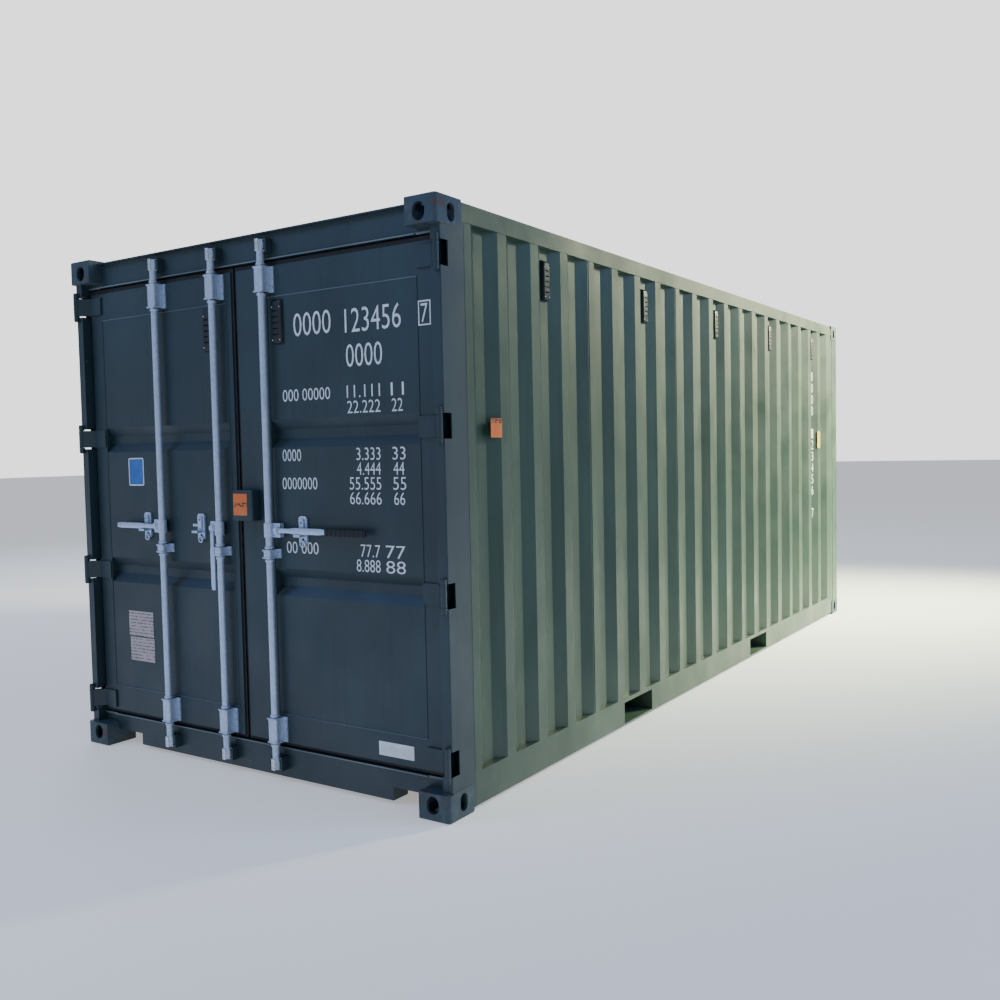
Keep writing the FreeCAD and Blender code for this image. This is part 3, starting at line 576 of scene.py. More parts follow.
def repeat(piece: Piece, places: Iterable[Sequence[float]]) -> Piece:
    """Copies a piece modelled at the origin to each place and joins the copies.

    Args:
        piece: The pattern, which is removed.
        places: Offsets of the copies.

    Returns:
        One piece that holds every copy.
    """
    copies = []
    for place in places:
        twin = piece.copy()
        twin.data = piece.data.copy()
        bpy.context.scene.collection.objects.link(twin)
        twin.data.transform(Matrix.Translation(Vector(place)))
        copies.append(twin)
    bpy.data.objects.remove(piece)
    return merge(copies)


def finish_piece(piece: Piece, name: str, body: str, finish: Any, smooth: float = 35.0) -> Piece:
    """Names, smooths and dresses a piece, and ties it to its body.

    Args:
        piece: The modelled piece.
        name: Its name.
        body: The body it rides on.
        finish: The finish it gets.
        smooth: Edges flatter than this many degrees shade smoothly.

    Returns:
        The same piece.
    """
    activate(piece)
    bpy.ops.object.shade_smooth_by_angle(angle=math.radians(smooth))
    piece.name = piece.data.name = name
    piece.data.materials.clear()
    piece.data.materials.append(PAINTS.get(finish))
    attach(piece, body)
    log.info("%s on %s: %d faces", name, body, len(piece.data.polygons))
    return piece


def dress_frame() -> None:
    """Gives every CAD node its finish by name."""
    for name, node in frame["nodes"].items():
        finish: Any = PAINT
        if name.endswith("_castings"):
            finish = CASTING
        elif "wall" in name or name == "roof_sheet":
            finish = SHEET_PAINT
        elif name.startswith(("lock_rod", "handle_left", "handle_right", "rod_brackets", "handle_retainers")):
            finish = ZINC
        # Door-end pieces take copies of the container paint darkened as painted shade; vents take a near-black painted
        # shade.
        elif name == "door_header":
            finish = HEADER_SHADE_AND_HIGHLIGHT_PAINT
        elif name == "door_sill":
            finish = SILL_SHADE_AND_HIGHLIGHT_PAINT
        elif name == "rear_corner_posts":
            finish = SHADED_POST_PAINT
        elif "vent" in name:
            finish = SHADED_VENT_PAINT
        elif "gasket" in name or "grip" in name:
            finish = RUBBER
        elif name == "plywood_floor":
            finish = PLYWOOD
        elif name.startswith(("door_frame", "door_panel", "door_hinges", "lock_box", "cam_keepers",
                               "hinge_pins", "roof_end_plates")):
            finish = SHADED_DOOR_PAINT
        node.data.materials.clear()
        node.data.materials.append(PAINTS.get(finish))
        log.info("%s dressed as %s", name, finish.name)


# ------------------------------------------------------------------ lock gear
@dataclass
class LockRod:
    """Collars and cam jaws of one locking rod, which turn with it."""

    name: str
    collar_radius: float = 0.0215
    collar_height: float = 0.013
    collar_heights: tuple[float, ...] = (0.178, 0.318, 1.052, 1.114, 2.287, 2.426)
    cam_lows: tuple[float, float] = (0.062, 2.487)
    cam_height: float = 0.050
    jaw_radius: float = 0.0228
    jaw_thickness: float = 0.009
    pin_radius: float = 0.0052

    def __post_init__(self) -> None:
        """Takes the rod's axis from its joint."""
        place = JOINTS[f"rod_{self.name}_turn"]["pos_m"]
        self.x, self.y = place[0], place[1]

    def collars(self) -> Piece:
        """Turned rings on the shaft beside the brackets."""
        ring = round_bar((0, 0, 0), Along.Z, self.collar_radius, self.collar_height, 28)
        ring = soften(ring, 0.003, 2, 60)
        return repeat(ring, [(self.x, self.y, z) for z in self.collar_heights])

    def jaw(self) -> Piece:
        """One hooked plate of a cam, at the origin."""
        plate = round_bar((0, 0, 0), Along.Z, self.jaw_radius, self.jaw_thickness, 28)
        mouth = round_bar((0.0175, -0.0158, 0), Along.Z, 0.0100, 0.03, 20)
        plate = cut(plate, mouth)
        notch = block((-0.030, -0.030, -0.02), (-0.0135, -0.010, 0.02))
        return soften(cut(plate, notch), 0.0016, 2, 45)

    def cams(self) -> Piece:
        """Jaws and cross pins at both ends of the rod."""
        gap = self.cam_height / 2 - self.jaw_thickness / 2
        middles = [low + self.cam_height / 2 for low in self.cam_lows]
        jaws = repeat(self.jaw(), [(self.x, self.y, z + s * gap) for z in middles for s in (-1, 0, 1)])
        pin = round_bar((0, 0, 0), Along.Z, self.pin_radius, self.cam_height + 0.006, 16)
        pin = soften(pin, 0.002, 2, 60)
        spots = [(-0.0110, -0.0148), (0.0158, 0.0100), (0.0016, -0.0165)]
        pins = repeat(pin, [(self.x + dx, self.y + dy, z) for z in middles for dx, dy in spots])
        return merge([jaws, pins])

    def build(self) -> None:
        """Makes and dresses the pieces of this rod."""
        body = f"rod_{self.name}"
        finish_piece(self.collars(), f"rod_collars_{self.name}", body, ZINC)
        finish_piece(self.cams(), f"cam_jaws_{self.name}", body, BRIGHT_ZINC)


@dataclass
class RodBrackets:
    """Pressed flanges, ribs and bolts of the brackets on one door."""

    body: Body
    places: tuple[float, ...]
    spans: tuple[tuple[float, float, float], ...] = ((0.189, 0.309, 0.027), (1.062, 1.105, 0.022),
                                                     (2.296, 2.416, 0.027))
    front: float = 0.059
    rib: float = 0.0035
    rib_height: float = 0.009
    wing_thickness: float = 0.006
    bolt_radius: float = 0.0058
    bolt_out: float = 0.0090
    bolt_height: float = 0.006

    def ribs(self) -> Piece:
        """Raised bands at the top and bottom of each housing."""
        made = []
        for x in self.places:
            for low, high, half in self.spans:
                for z in (low, high - self.rib_height):
                    band = block((x - half - self.rib, DOOR_FACE - self.front - self.rib, z),
                                 (x + half + self.rib, DOOR_FACE - self.wing_thickness, z + self.rib_height))
                    choose(band, lambda middle, normal: normal.y < -0.9)
                    bpy.ops.mesh.bevel(offset=0.006, segments=2, affect="EDGES")
                    leave_edit()
                    bore = round_bar((x, DOOR_FACE - 0.037, z), Along.Z, 0.0174, 0.05, 24)
                    made.append(cut(band, bore))
        return merge(made)

    def bolts(self) -> Piece:
        """Round bolt heads on the fixing wings."""
        head = round_bar((0, 0, 0), Along.Y, self.bolt_radius, self.bolt_height, 12)
        head = soften(head, 0.0025, 2, 60)
        spots = []
        y = DOOR_FACE - self.wing_thickness - self.bolt_height / 2
        for x in self.places:
            for low, high, half in self.spans:
                tall = high - low > 0.1
                heights = (low + 0.024, (low + high) / 2, high - 0.024) if tall else ((low + high) / 2,)
                spots += [(x + s * (half + self.rib + self.bolt_out), y, z) for z in heights for s in (-1, 1)]
        return repeat(head, spots)

    def build(self) -> None:
        """Makes and dresses the ribs and bolts."""
        side = self.body.value.split("_")[1]
        finish_piece(self.ribs(), f"bracket_ribs_{side}", self.body.value, ZINC)
        finish_piece(self.bolts(), f"bracket_bolts_{side}", self.body.value, BRIGHT_ZINC)


@dataclass
class Handle:
    """Forged flat handle that turns on its hub pin, lying across the door or hanging down."""

    name: str
    sign: int
    hanging: bool = False
    length: float = 0.305
    thickness: float = 0.0118
    eye_radius: float = 0.0188
    neck: float = 0.011
    play: float = 0.0005

    def __post_init__(self) -> None:
        """Takes the pivot from the handle's joint."""
        self.pivot = Vector(JOINTS[f"handle_{self.name}_lift"]["pos_m"])

    def shape(self) -> Piece:
        """Bar that starts narrow at the eye and widens, at the origin along +X."""
        back, front = -self.play, -self.play - self.thickness
        bar = block((0.012, front, -self.neck), (0.05, back, self.neck))
        steps = ((0.035, 1.0, 1.0), (0.03, 1.34, 1.0), (0.06, 1.0, 1.0), (0.1, 0.98, 0.94),
                 (self.length - 0.275, 0.8, 0.9))
        for step, taller, thinner in steps:
            choose(bar, lambda middle, normal: normal.x > 0.9)
            bpy.ops.mesh.extrude_region_move(TRANSFORM_OT_translate={"value": (step, 0, 0)})
            bpy.ops.transform.resize(value=(1, thinner, taller))
            leave_edit()
        bar = soften(bar, 0.003, 2, 40)
        eye = round_bar((0, (front + back) / 2, 0), Along.Y, self.eye_radius, self.thickness, 32)
        hole = round_bar((0, (front + back) / 2, 0), Along.Y, 0.0072, 0.05, 24)
        return merge([soften(cut(eye, hole), 0.0018, 2, 60), bar])

    def build(self) -> None:
        """Turns the bar the right way, puts it at its pivot and dresses it."""
        handle = self.shape()
        degrees = 90 if self.hanging else (0 if self.sign > 0 else 180)
        handle.data.transform(Matrix.Translation(self.pivot) @ Matrix.Rotation(math.radians(degrees), 4, "Y"))
        node = f"handle_{self.name}"
        finish_piece(handle, f"forged_handle_{self.name}", node, ZINC)
        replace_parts(handle, node)


@dataclass
class HandleGrip:
    """Black sleeve with moulded rings on the end of the right handle."""

    rings: int = 9
    ring_length: float = 0.006
    proud: float = 0.0014
    body: str = "handle_right"
    node: str = "handle_grip_right"

    def build(self) -> None:
        """Models the sleeve in the room of its CAD node."""
        low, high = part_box(self.node)
        inner = Vector((0, self.proud, self.proud))
        sleeve = soften(block(low + inner, high - inner), 0.005, 3, 40)
        pitch = (high.x - low.x - 0.03) / (self.rings - 1)
        ring = soften(block((-self.ring_length / 2, low.y, low.z), (self.ring_length / 2, high.y, high.z)),
                      0.002, 2, 40)
        bands = repeat(ring, [(low.x + 0.015 + i * pitch, 0, 0) for i in range(self.rings)])
        grip = finish_piece(merge([sleeve, bands]), "ribbed_grip", self.body, RUBBER)
        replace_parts(grip, self.node)


@dataclass
class HandleCatches:
    """Rings and rivets on the plates that hold the handles of one door."""

    body: Body
    places: tuple[float, ...]
    arm_at: float | None = None
    ring_radius: float = 0.0145
    ring_wire: float = 0.0036
    ring_z: float = 1.143
    rivet_z: float = 1.243
    rivet_x: float = -0.018
    hole_z: float = 1.232
    hole_radius: float = 0.0055

    def build(self) -> None:
        """Models and dresses the rings, rivets and arm."""
        made = []
        for x in self.places:
            deselect()
            bpy.ops.mesh.primitive_torus_add(location=(x, DOOR_FACE - 0.0145, self.ring_z), major_segments=32,
                                             minor_segments=10, major_radius=self.ring_radius,
                                             minor_radius=self.ring_wire, rotation=Along.Y.value)
            ring = settle(bpy.context.active_object)
            ring.data.transform(Matrix.Translation((0, 0, -0.008)))
            tab = soften(block((x - 0.012, DOOR_FACE - 0.02, 1.188), (x + 0.012, DOOR_FACE - 0.01, 1.25)),
                         0.004, 3, 40)
            hole = round_bar((x, DOOR_FACE - 0.01, self.hole_z), Along.Y, self.hole_radius, 0.05, 20)
            rivet = round_bar((x + self.rivet_x, DOOR_FACE - 0.0125, self.rivet_z), Along.Y, 0.0045, 0.005, 12)
            made += [ring, cut(tab, hole), soften(rivet, 0.0015, 2, 60)]
        if self.arm_at is not None:
            arm = soften(block((self.arm_at - 0.05, DOOR_FACE - 0.02, 1.198),
                               (self.arm_at - 0.005, DOOR_FACE - 0.012, 1.212)), 0.003, 2, 40)
            made.append(arm)
        side = self.body.value.split("_")[1]
        finish_piece(merge(made), f"catch_fittings_{side}", self.body.value, ZINC)


@dataclass
class LockBox:
    """Welded box that shields a padlock: rounded outer corners, open underneath."""

    node: str = "lock_box"
    wall: float = 0.005
    corner: float = 0.007

    def build(self) -> None:
        """Folds the box from its outer skin and thickens it inwards."""
        low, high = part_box(self.node)
        box = block(low, high)
        choose(box, lambda middle, normal: normal.z < -0.9 or normal.y > 0.9)
        bpy.ops.mesh.delete(type="FACE")
        leave_edit()
        soften(box, self.corner, 3, 40)
        activate(box)
        wall = box.modifiers.new("wall", "SOLIDIFY")
        wall.thickness, wall.offset = self.wall, -1.0
        bpy.ops.object.modifier_apply(modifier=wall.name)
        hood = soften(block((low.x + 0.012, high.y - 0.02, high.z - 0.045), (high.x - 0.012, high.y, high.z - 0.012)),
                      0.003, 2, 40)
        shield = finish_piece(merge([box, hood]), "lock_box_shell", Body.RIGHT_DOOR.value, SHADED_DOOR_PAINT)
        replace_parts(shield, self.node)


# ------------------------------------------------------------------ doors and walls
@dataclass
class Welds:
    """Painted weld beads along the seams of the doors, posts and wall sheets."""

    radius: float = 0.0032
    sides: int = 8
    post_low: float = 0.118
    post_high: float = 2.473
    rear_y: float = -3.001
    front_y: float = 3.025
    side_x: float = 1.215
    sheet_x: float = 1.2128
    sheet_z: tuple[float, float] = (0.166, 2.5)
    sheet_joints: tuple[float, ...] = (-1.728, -0.616, 0.496, 1.608)

    def bead(self, start: Point, end: Point) -> Piece:
        """One bead between two points on one axis."""
        span = Vector(end) - Vector(start)
        along = max(Along, key=lambda option: abs(span["XYZ".index(option.name)]))
        bar = round_bar((Vector(start) + Vector(end)) / 2, along, self.radius, span.length, self.sides)
        return soften(bar, 0.0012, 1, 60)

    def door(self, side: str) -> None:
        """Beads round the pressed panel of a door; the level ones get a paler paint as painted highlight, the upright
        ones the door paint darkened as painted shade.
        """
        low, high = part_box(f"door_panel_{side}")
        level = merge([self.bead((low.x, DOOR_FACE, z), (high.x, DOOR_FACE, z)) for z in (low.z, high.z)])
        finish_piece(level, f"door_welds_{side}", f"door_{side}", WELD_HIGHLIGHT_PAINT)
        upright = merge([self.bead((x, DOOR_FACE, low.z), (x, DOOR_FACE, high.z)) for x in (low.x, high.x)])
        finish_piece(upright, f"door_seams_{side}", f"door_{side}", SHADED_DOOR_PAINT)

    def frame(self) -> Piece:
        """Beads where posts meet castings, and down the joints of the wall sheets."""
        made = []
        for s in (-1, 1):
            for z in (self.post_low, self.post_high):
                made.append(self.bead((s * 1.166, self.rear_y, z), (s * 1.209, self.rear_y, z)))
                made.append(self.bead((s * self.side_x, -2.998, z), (s * self.side_x, -2.852, z)))
                made.append(self.bead((s * self.side_x, 2.887, z), (s * self.side_x, 3.023, z)))
                made.append(self.bead((s * 1.107, self.front_y, z), (s * 1.213, self.front_y, z)))
            low, high = self.sheet_z
            made.append(self.bead((s * 1.213, -2.832, low), (s * 1.213, -2.832, high)))
            for y in self.sheet_joints:
                made.append(self.bead((s * self.sheet_x, y, low), (s * self.sheet_x, y, high)))
        made.append(self.bead((-1.055, -2.955, 2.574), (1.055, -2.955, 2.574)))
        return merge(made)

    def build(self) -> None:
        """Makes and dresses all the beads."""
        self.door("right")
        self.door("left")
        finish_piece(self.frame(), "frame_welds", "frame", PAINT)


@dataclass
class VentCover:
    """Moulded ventilator cover with a sloping top, slots and screws."""

    width: float
    height: float
    depth: float
    slots: int = 5
    slot_height: float = 0.006
    edge: float = 0.003

    def shape(self, turn: Matrix) -> tuple[Piece, Piece]:
        """Cover and its screws: back on the XZ plane and facing -Y, then turned and put in place."""
        half = self.width / 2
        cover = block((-half, -self.depth, 0), (half, 0, self.height))
        choose(cover, lambda middle, normal: normal.y < -0.9)
        bpy.ops.transform.resize(value=(0.86, 1, 0.9), center_override=(0, -self.depth, self.height * 0.35))
        leave_edit()
        cover = soften(cover, self.edge, 2, 30)
        for i in range(self.slots):
            z = self.height * 0.2 + i * self.height * 0.13
            slot = block((-half * 0.55, -self.depth - 0.01, z), (half * 0.55, -self.depth * 0.45, z + self.slot_height))
            cover = cut(cover, slot)
        screw = soften(round_bar((0, -self.depth * 0.92, 0), Along.Y, 0.0036, 0.004, 10), 0.001, 1, 60)
        spots = [(s * half * 0.66, 0, self.height * share) for s in (-1, 1) for share in (0.1, 0.82)]
        heads = repeat(screw, spots)
        for piece in (cover, heads):
            piece.data.transform(turn)
        return cover, heads


@dataclass
class Vents:
    """Ventilator covers under the roof rail of each wall and at the top of each door."""

    wall_cover: VentCover
    door_cover: VentCover
    wall_face: float = 1.177
    count: int = 5

    def build(self) -> None:
        """Copies the two covers to their places."""
        low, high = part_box("side_vents")
        first = low.y + self.wall_cover.width / 2
        pitch = (high.y - low.y - self.wall_cover.width) / (self.count - 1)
        pairs = []
        for side in (-1, 1):
            turn = Matrix.Rotation(math.radians(90 * side), 4, "Z")
            for i in range(self.count):
                spot = (side * self.wall_face, first + i * pitch, low.z)
                pairs.append(self.wall_cover.shape(Matrix.Translation(spot) @ turn))
        covers, screws = (merge(pieces) for pieces in zip(*pairs))
        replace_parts(finish_piece(covers, "wall_vent_covers", "frame", SHADED_VENT_PAINT), "side_vents")
        finish_piece(screws, "wall_vent_screws", "frame", ZINC)
        for side in ("left", "right"):
            low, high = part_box(f"door_vent_{side}")
            cover, screws = self.door_cover.shape(Matrix.Translation(((low.x + high.x) / 2, high.y, low.z)))
            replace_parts(finish_piece(cover, f"vent_cover_{side}", f"door_{side}", SHADED_VENT_PAINT),
                        f"door_vent_{side}")
            finish_piece(screws, f"vent_screws_{side}", f"door_{side}", BRIGHT_ZINC)


@dataclass
class HingeCaps:
    """Washers at the ends of the hinge pins."""

    radius: float = 0.0105
    thickness: float = 0.004
    knuckle: float = 0.045
    lug: float = 0.027

    def build(self) -> None:
        """Puts a washer on each end of every pin."""
        hinge = JOINTS["door_right_hinge"]["pos_m"]
        low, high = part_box("door_hinges_right")
        first, last = low.z + self.knuckle, high.z - self.knuckle
        reach = self.knuckle + self.lug + self.thickness / 2
        cap = soften(round_bar((0, 0, 0), Along.Z, self.radius, self.thickness, 16), 0.0014, 2, 60)
        spots = [(s * hinge[0], hinge[1], first + i * (last - first) / 3 + e * reach)
                 for s in (-1, 1) for i in range(4) for e in (-1, 1)]
        finish_piece(repeat(cap, spots), "hinge_pin_caps", "frame", SHADED_DOOR_PAINT)


@dataclass
class FloorScrews:
    """Countersunk screw heads in rows over the cross members."""

    radius: float = 0.0055
    rows: int = 17
    columns: tuple[float, ...] = (-1.08, -0.64, -0.52, -0.06, 0.06, 0.52, 0.64, 1.08)
    pitch: float = 0.31

    def build(self) -> None:
        """Scatters the heads in their rows."""
        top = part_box("plywood_floor")[1].z
        head = soften(round_bar((0, 0, 0), Along.Z, self.radius, 0.0016, 10), 0.0005, 1, 60)
        spots = [(x, (row - (self.rows - 1) / 2) * self.pitch, top) for row in range(self.rows)
                 for x in self.columns]
        finish_piece(repeat(head, spots), "floor_screws", "frame", ZINC)


# ------------------------------------------------------------------ markings
@dataclass(frozen=True)
class Line:
    """One row of plain digits: its text and the box that it fills, in metres."""

    text: str
    left: float
    right: float
    low: float
    high: float


@dataclass
class Markings:
    """Plain digits on the right door and the far end of the right wall."""

    thickness: float = 0.0003
    lift: float = 0.0003
    frame_stroke: float = 0.006
    box: tuple[float, float, float, float] = (1.062, 1.128, 2.072, 2.176)
    lines: tuple[Line, ...] = (
        Line("0000", 0.343, 0.571, 2.083, 2.188), Line("123456", 0.654, 0.969, 2.075, 2.18),
        Line("7", 1.076, 1.112, 2.085, 2.163), Line("0000", 0.656, 0.862, 1.925, 2.025),
        Line("000 00000", 0.262, 0.556, 1.79, 1.845), Line("11.111", 0.655, 0.845, 1.79, 1.845),
        Line("11", 0.905, 0.976, 1.79, 1.845), Line("22.222", 0.655, 0.845, 1.722, 1.777),
        Line("22", 0.908, 0.968, 1.722, 1.777), Line("0000", 0.249, 0.366, 1.515, 1.57),
        Line("3.333", 0.701, 0.838, 1.515, 1.57), Line("33", 0.905, 0.976, 1.515, 1.57),
        Line("4.444", 0.701, 0.838, 1.45, 1.505), Line("44", 0.908, 0.968, 1.45, 1.505),
        Line("0000000", 0.243, 0.462, 1.385, 1.44), Line("55.555", 0.657, 0.838, 1.385, 1.44),
        Line("55", 0.905, 0.976, 1.385, 1.44), Line("66.666", 0.657, 0.838, 1.32, 1.375),
        Line("66", 0.908, 0.968, 1.32, 1.375), Line("00 000", 0.257, 0.458, 1.088, 1.143),
        Line("77.7", 0.711, 0.822, 1.088, 1.143), Line("77", 0.854, 0.962, 1.088, 1.143),
        Line("8.888", 0.685, 0.822, 1.022, 1.077), Line("88", 0.854, 0.962, 1.022, 1.077))
    wall_x: float = 1.2131
    wall_text: str = "0000 123456 7"
    wall_y: float = 2.262
    wall_span: tuple[float, float] = (0.9, 2.15)
    wall_breadth: float = 0.05

    def digits(self, line: Line) -> Piece:
        """Makes a row of digits that fills its box, flat on the door face."""
        deselect()
        bpy.ops.object.text_add()
        text = bpy.context.active_object
        text.data.body, text.data.extrude, text.data.offset = line.text, self.thickness / 2, -0.006
        text.data.resolution_u = 3
        bpy.ops.object.convert(target="MESH")
        text = bpy.context.active_object
        xs, ys = [v.co.x for v in text.data.vertices], [v.co.y for v in text.data.vertices]
        wide = (line.right - line.left) / (max(xs) - min(xs))
        tall = (line.high - line.low) / (max(ys) - min(ys))
        text.data.transform(Matrix.Diagonal((wide, tall, 1, 1)) @ Matrix.Translation((-min(xs), -min(ys), 0)))
        text.data.transform(Matrix.Translation((line.left, DOOR_FACE - self.lift, line.low))
                            @ Matrix.Rotation(math.pi / 2, 4, "X"))
        return text

    def outline(self) -> Piece:
        """Thin square line round the last digit."""
        left, right, low, high = self.box
        y0, y1 = DOOR_FACE - self.lift - self.thickness, DOOR_FACE
        plate = block((left, y0, low), (right, y1, high))
        hole = block((left + self.frame_stroke, y0 - 0.01, low + self.frame_stroke),
                     (right - self.frame_stroke, y1 + 0.01, high - self.frame_stroke))
        return cut(plate, hole)

    def wall_digits(self) -> Piece:
        """Digits one above the other on a crest of the right wall."""
        made = []
        low, high = self.wall_span
        step = (high - low) / len(self.wall_text)
        for i, digit in enumerate(self.wall_text):
            if digit == " ":
                continue
            top = high - i * step
            glyph = self.digits(Line(digit, -self.wall_breadth / 2, self.wall_breadth / 2, top - step * 0.8, top))
            glyph.data.transform(Matrix.Translation((self.wall_x, self.wall_y, 0))
                                 @ Matrix.Rotation(math.pi / 2, 4, "Z") @ Matrix.Translation((0, -DOOR_FACE, 0)))
            made.append(glyph)
        return merge(made)

    def build(self) -> None:
        """Makes and dresses all the digits."""
        rows = merge([self.digits(line) for line in self.lines] + [self.outline()])
        finish_piece(rows, "door_digits", Body.RIGHT_DOOR.value, WHITE_INK)
        finish_piece(self.wall_digits(), "wall_digits", "frame", WHITE_INK)


@dataclass(frozen=True)
class Label:
    """Thin sticker or plate on a flat face: two corners of its outline."""

    name: str
    body: str
    low: Point
    high: Point
    finish: Any
    corner: float = 0.003
    border: Any = None
    border_width: float = 0.006

    def build(self) -> None:
        """Models the sheet with rounded corners and, if it has one, a border of another colour."""
        sheet = block(self.low, self.high)
        thin = min(range(3), key=lambda axis: self.high[axis] - self.low[axis])
        outward = -1 if thin == 1 else 1
        activate(sheet)
        bpy.ops.object.mode_set(mode="EDIT")
        bpy.ops.mesh.select_all(action="DESELECT")
        bpy.ops.object.mode_set(mode="OBJECT")
        vertices = sheet.data.vertices
        for edge in sheet.data.edges:
            span = vertices[edge.vertices[0]].co - vertices[edge.vertices[1]].co
            edge.select = abs(span[thin]) > 0.9 * span.length
        bpy.ops.object.mode_set(mode="EDIT")
        bpy.ops.mesh.bevel(offset=self.corner, segments=3, affect="EDGES")
        leave_edit()
        if self.border is not None:
            choose(sheet, lambda middle, normal: normal[thin] * outward > 0.9)
            bpy.ops.mesh.inset(thickness=self.border_width)
            leave_edit()
        finish_piece(sheet, self.name, self.body, self.finish)
        if self.border is not None:
            centre = (Vector(self.low) + Vector(self.high)) / 2
            sheet.data.materials.append(PAINTS.get(self.border))
            choose(sheet, lambda middle, normal: normal[thin] * outward > 0.9
                   and (middle - centre).length < self.border_width)
            bpy.ops.mesh.select_all(action="INVERT")
            sheet.active_material_index = 1
            bpy.ops.object.material_slot_assign()
            leave_edit()


def labels() -> list[Label]:
    """Lists the stickers and plates, all without words.

    Returns:
        Each label with its place, size and finish.
    """
    y = DOOR_FACE
    lock_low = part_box("lock_box")[0]
    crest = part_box("side_wall_right")[1].x
    return [
        Label("blue_label", "door_left", (-0.884, y - 0.0008, 1.4), (-0.762, y, 1.545), BLUE, 0.009, WHITE_INK),
        Label("data_plate_upper", "door_left", (-0.928, y - 0.0018, 0.602), (-0.73, y, 0.735), DATA_PLATE),
        Label("data_plate_lower", "door_left", (-0.922, y - 0.0018, 0.47), (-0.726, y, 0.596), DATA_PLATE),
        Label("white_label", "door_right", (0.786, y - 0.0006, 0.214), (0.982, y, 0.276), WHITE_INK),
        Label("lock_sticker", "door_right", (lock_low.x + 0.008, lock_low.y - 0.0006, 1.262),
              (lock_low.x + 0.1, lock_low.y, 1.365), ORANGE),
        Label("wall_sticker", "frame", (crest, -2.655, 1.602), (crest + 0.0006, -2.565, 1.687), ORANGE),
        Label("far_sticker", "frame", (crest, 2.42, 1.507), (crest + 0.0006, 2.5, 1.65), YELLOW)]


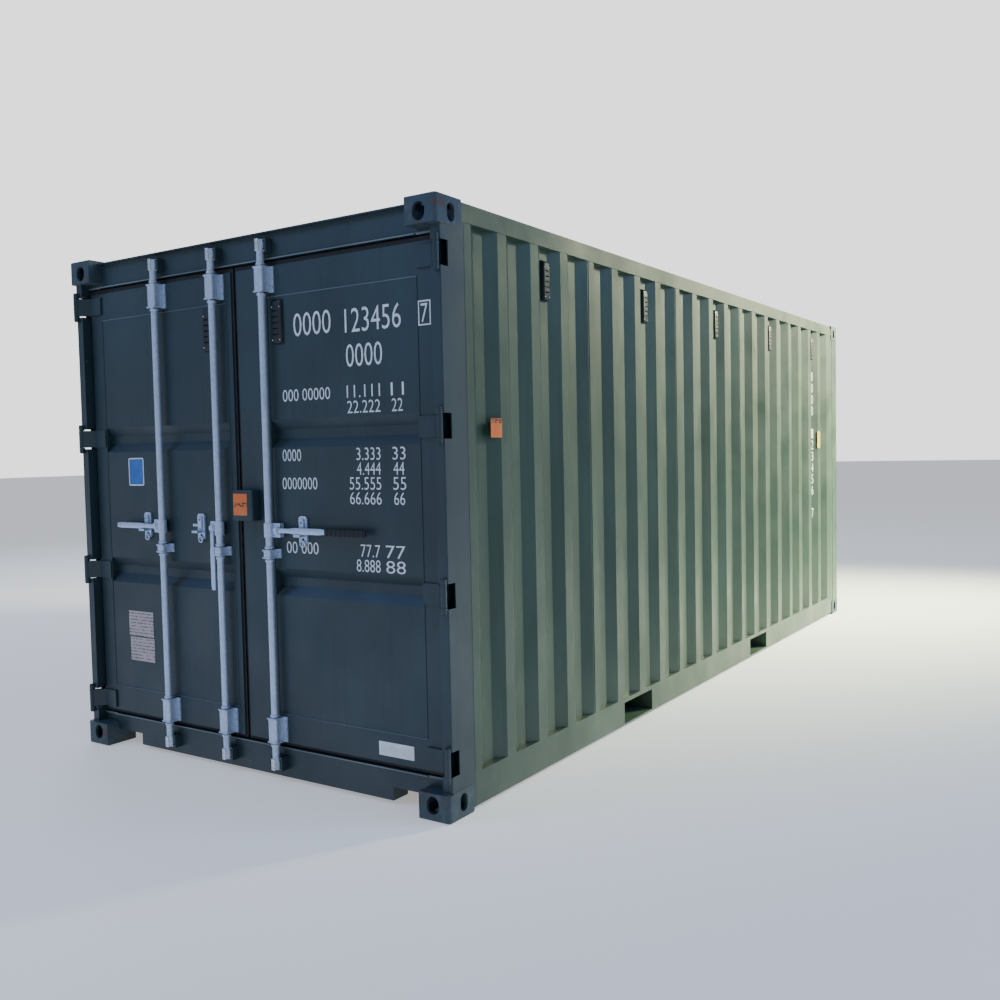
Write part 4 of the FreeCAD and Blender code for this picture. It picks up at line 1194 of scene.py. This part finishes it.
# ------------------------------------------------------------------ stage
@dataclass(frozen=True)
class Studio:
    """Pale floor, soft lights and the camera."""

    floor_size: float = 160.0
    camera_place: Point = (3.636123, -6.293201, 1.546650)
    yaw: float = 33.22132503
    pitch: float = -2.8656561
    roll: float = 1.19712698
    lens: float = 35.926
    sensor: float = 36.0

    def camera(self) -> None:
        """Sets the camera at its measured place and turn."""
        data = bpy.data.cameras.new("camera")
        data.lens, data.sensor_width, data.clip_end = self.lens, self.sensor, 300.0
        camera = bpy.data.objects.new("camera", data)
        bpy.context.scene.collection.objects.link(camera)
        turn = (Matrix.Rotation(math.radians(self.yaw), 4, "Z") @ Matrix.Rotation(math.radians(self.pitch), 4, "X")
                @ Matrix.Rotation(math.radians(self.roll), 4, "Y") @ Matrix.Rotation(math.pi / 2, 4, "X"))
        camera.matrix_world = Matrix.Translation(self.camera_place) @ turn
        bpy.context.scene.camera = camera

    def floor(self) -> None:
        """Lays the pale ground."""
        deselect()
        bpy.ops.mesh.primitive_plane_add(size=self.floor_size, location=(0, 0, -0.002))
        ground = bpy.context.active_object
        ground.name = "studio_floor"
        nodes = Nodes("pale studio floor")
        nodes.shader.inputs["Emission Color"].default_value = linear("#ffffff")
        nodes.shader.inputs["Emission Strength"].default_value = 0.38
        ground.data.materials.append(nodes.shade("#f1f1f1", 0.9))

    def light(self, name: str, place: Point, aim: Point, size: float, power: float, colour: str,
              spread: float = 180.0) -> None:
        """Adds one soft area light.

        Args:
            name: Its name.
            place: Where it stands.
            aim: The point it faces.
            size: Side of its square.
            power: Watts.
            colour: Its sRGB tint.
            spread: How wide it shines, in degrees.
        """
        data = bpy.data.lights.new(name, "AREA")
        data.spread = math.radians(spread)
        data.shape, data.size, data.energy, data.color = "SQUARE", size, power, linear(colour)[:3]
        lamp = bpy.data.objects.new(name, data)
        bpy.context.scene.collection.objects.link(lamp)
        lamp.location = place
        lamp.rotation_euler = (Vector(aim) - Vector(place)).to_track_quat("-Z", "Y").to_euler()

    def build(self) -> None:
        """Makes the whole stage."""
        self.camera()
        self.floor()
        world = bpy.data.worlds.new("studio")
        world.use_nodes = True
        background = world.node_tree.nodes["Background"]
        background.inputs["Color"].default_value = linear("#dbe6f7")
        background.inputs["Strength"].default_value = 0.42
        seen = world.node_tree.nodes.new("ShaderNodeBackground")
        seen.inputs["Strength"].default_value = 2.4
        path = world.node_tree.nodes.new("ShaderNodeLightPath")
        mix = world.node_tree.nodes.new("ShaderNodeMixShader")
        link = world.node_tree.links.new
        link(path.outputs["Is Camera Ray"], mix.inputs["Fac"])
        link(background.outputs["Background"], mix.inputs[1])
        link(seen.outputs["Background"], mix.inputs[2])
        link(mix.outputs["Shader"], world.node_tree.nodes["World Output"].inputs["Surface"])
        bpy.context.scene.world = world
        self.light("side_key", (6.0, 7.5, 5.0), (1.2, 3.3, 1.2), 2.2, 470.0, "#fbffcf", 52.0)
        self.light("side_fill", (9.0, 1.0, 7.0), (1.2, -1.5, 1.6), 5.0, 400.0, "#86b0ff")
        self.light("door_fill", (-5.0, -9.0, 8.5), (0.0, -3.0, 1.4), 4.0, 330.0, "#86b0ff")
        self.light("left_fill", (-9.0, 4.0, 7.0), (-1.2, 0.5, 1.3), 5.0, 300.0, "#dfe9ff")


def main() -> None:
    """Builds the stage and every piece in order."""
    logging.basicConfig(level=logging.INFO, format="%(message)s")
    Studio().build()
    dress_frame()
    for name in ("left_outer", "left_inner", "right"):
        LockRod(name).build()
    rods = {name: JOINTS[f"rod_{name}_turn"]["pos_m"][0] for name in ("left_outer", "left_inner", "right")}
    RodBrackets(Body.LEFT_DOOR, (rods["left_outer"], rods["left_inner"])).build()
    RodBrackets(Body.RIGHT_DOOR, (rods["right"],)).build()
    Handle("left_outer", -1).build()
    Handle("left_inner", -1, hanging=True).build()
    Handle("right", 1).build()
    HandleGrip().build()
    HandleCatches(Body.LEFT_DOOR, (-0.733, -0.322), arm_at=-0.322).build()
    HandleCatches(Body.RIGHT_DOOR, (0.372,)).build()
    LockBox().build()
    Welds().build()
    Vents(VentCover(0.058, 0.195, 0.022), VentCover(0.07, 0.21, 0.014)).build()
    HingeCaps().build()
    FloorScrews().build()
    Markings().build()
    for label in labels():
        label.build()


if __name__ == "__main__":
    main()
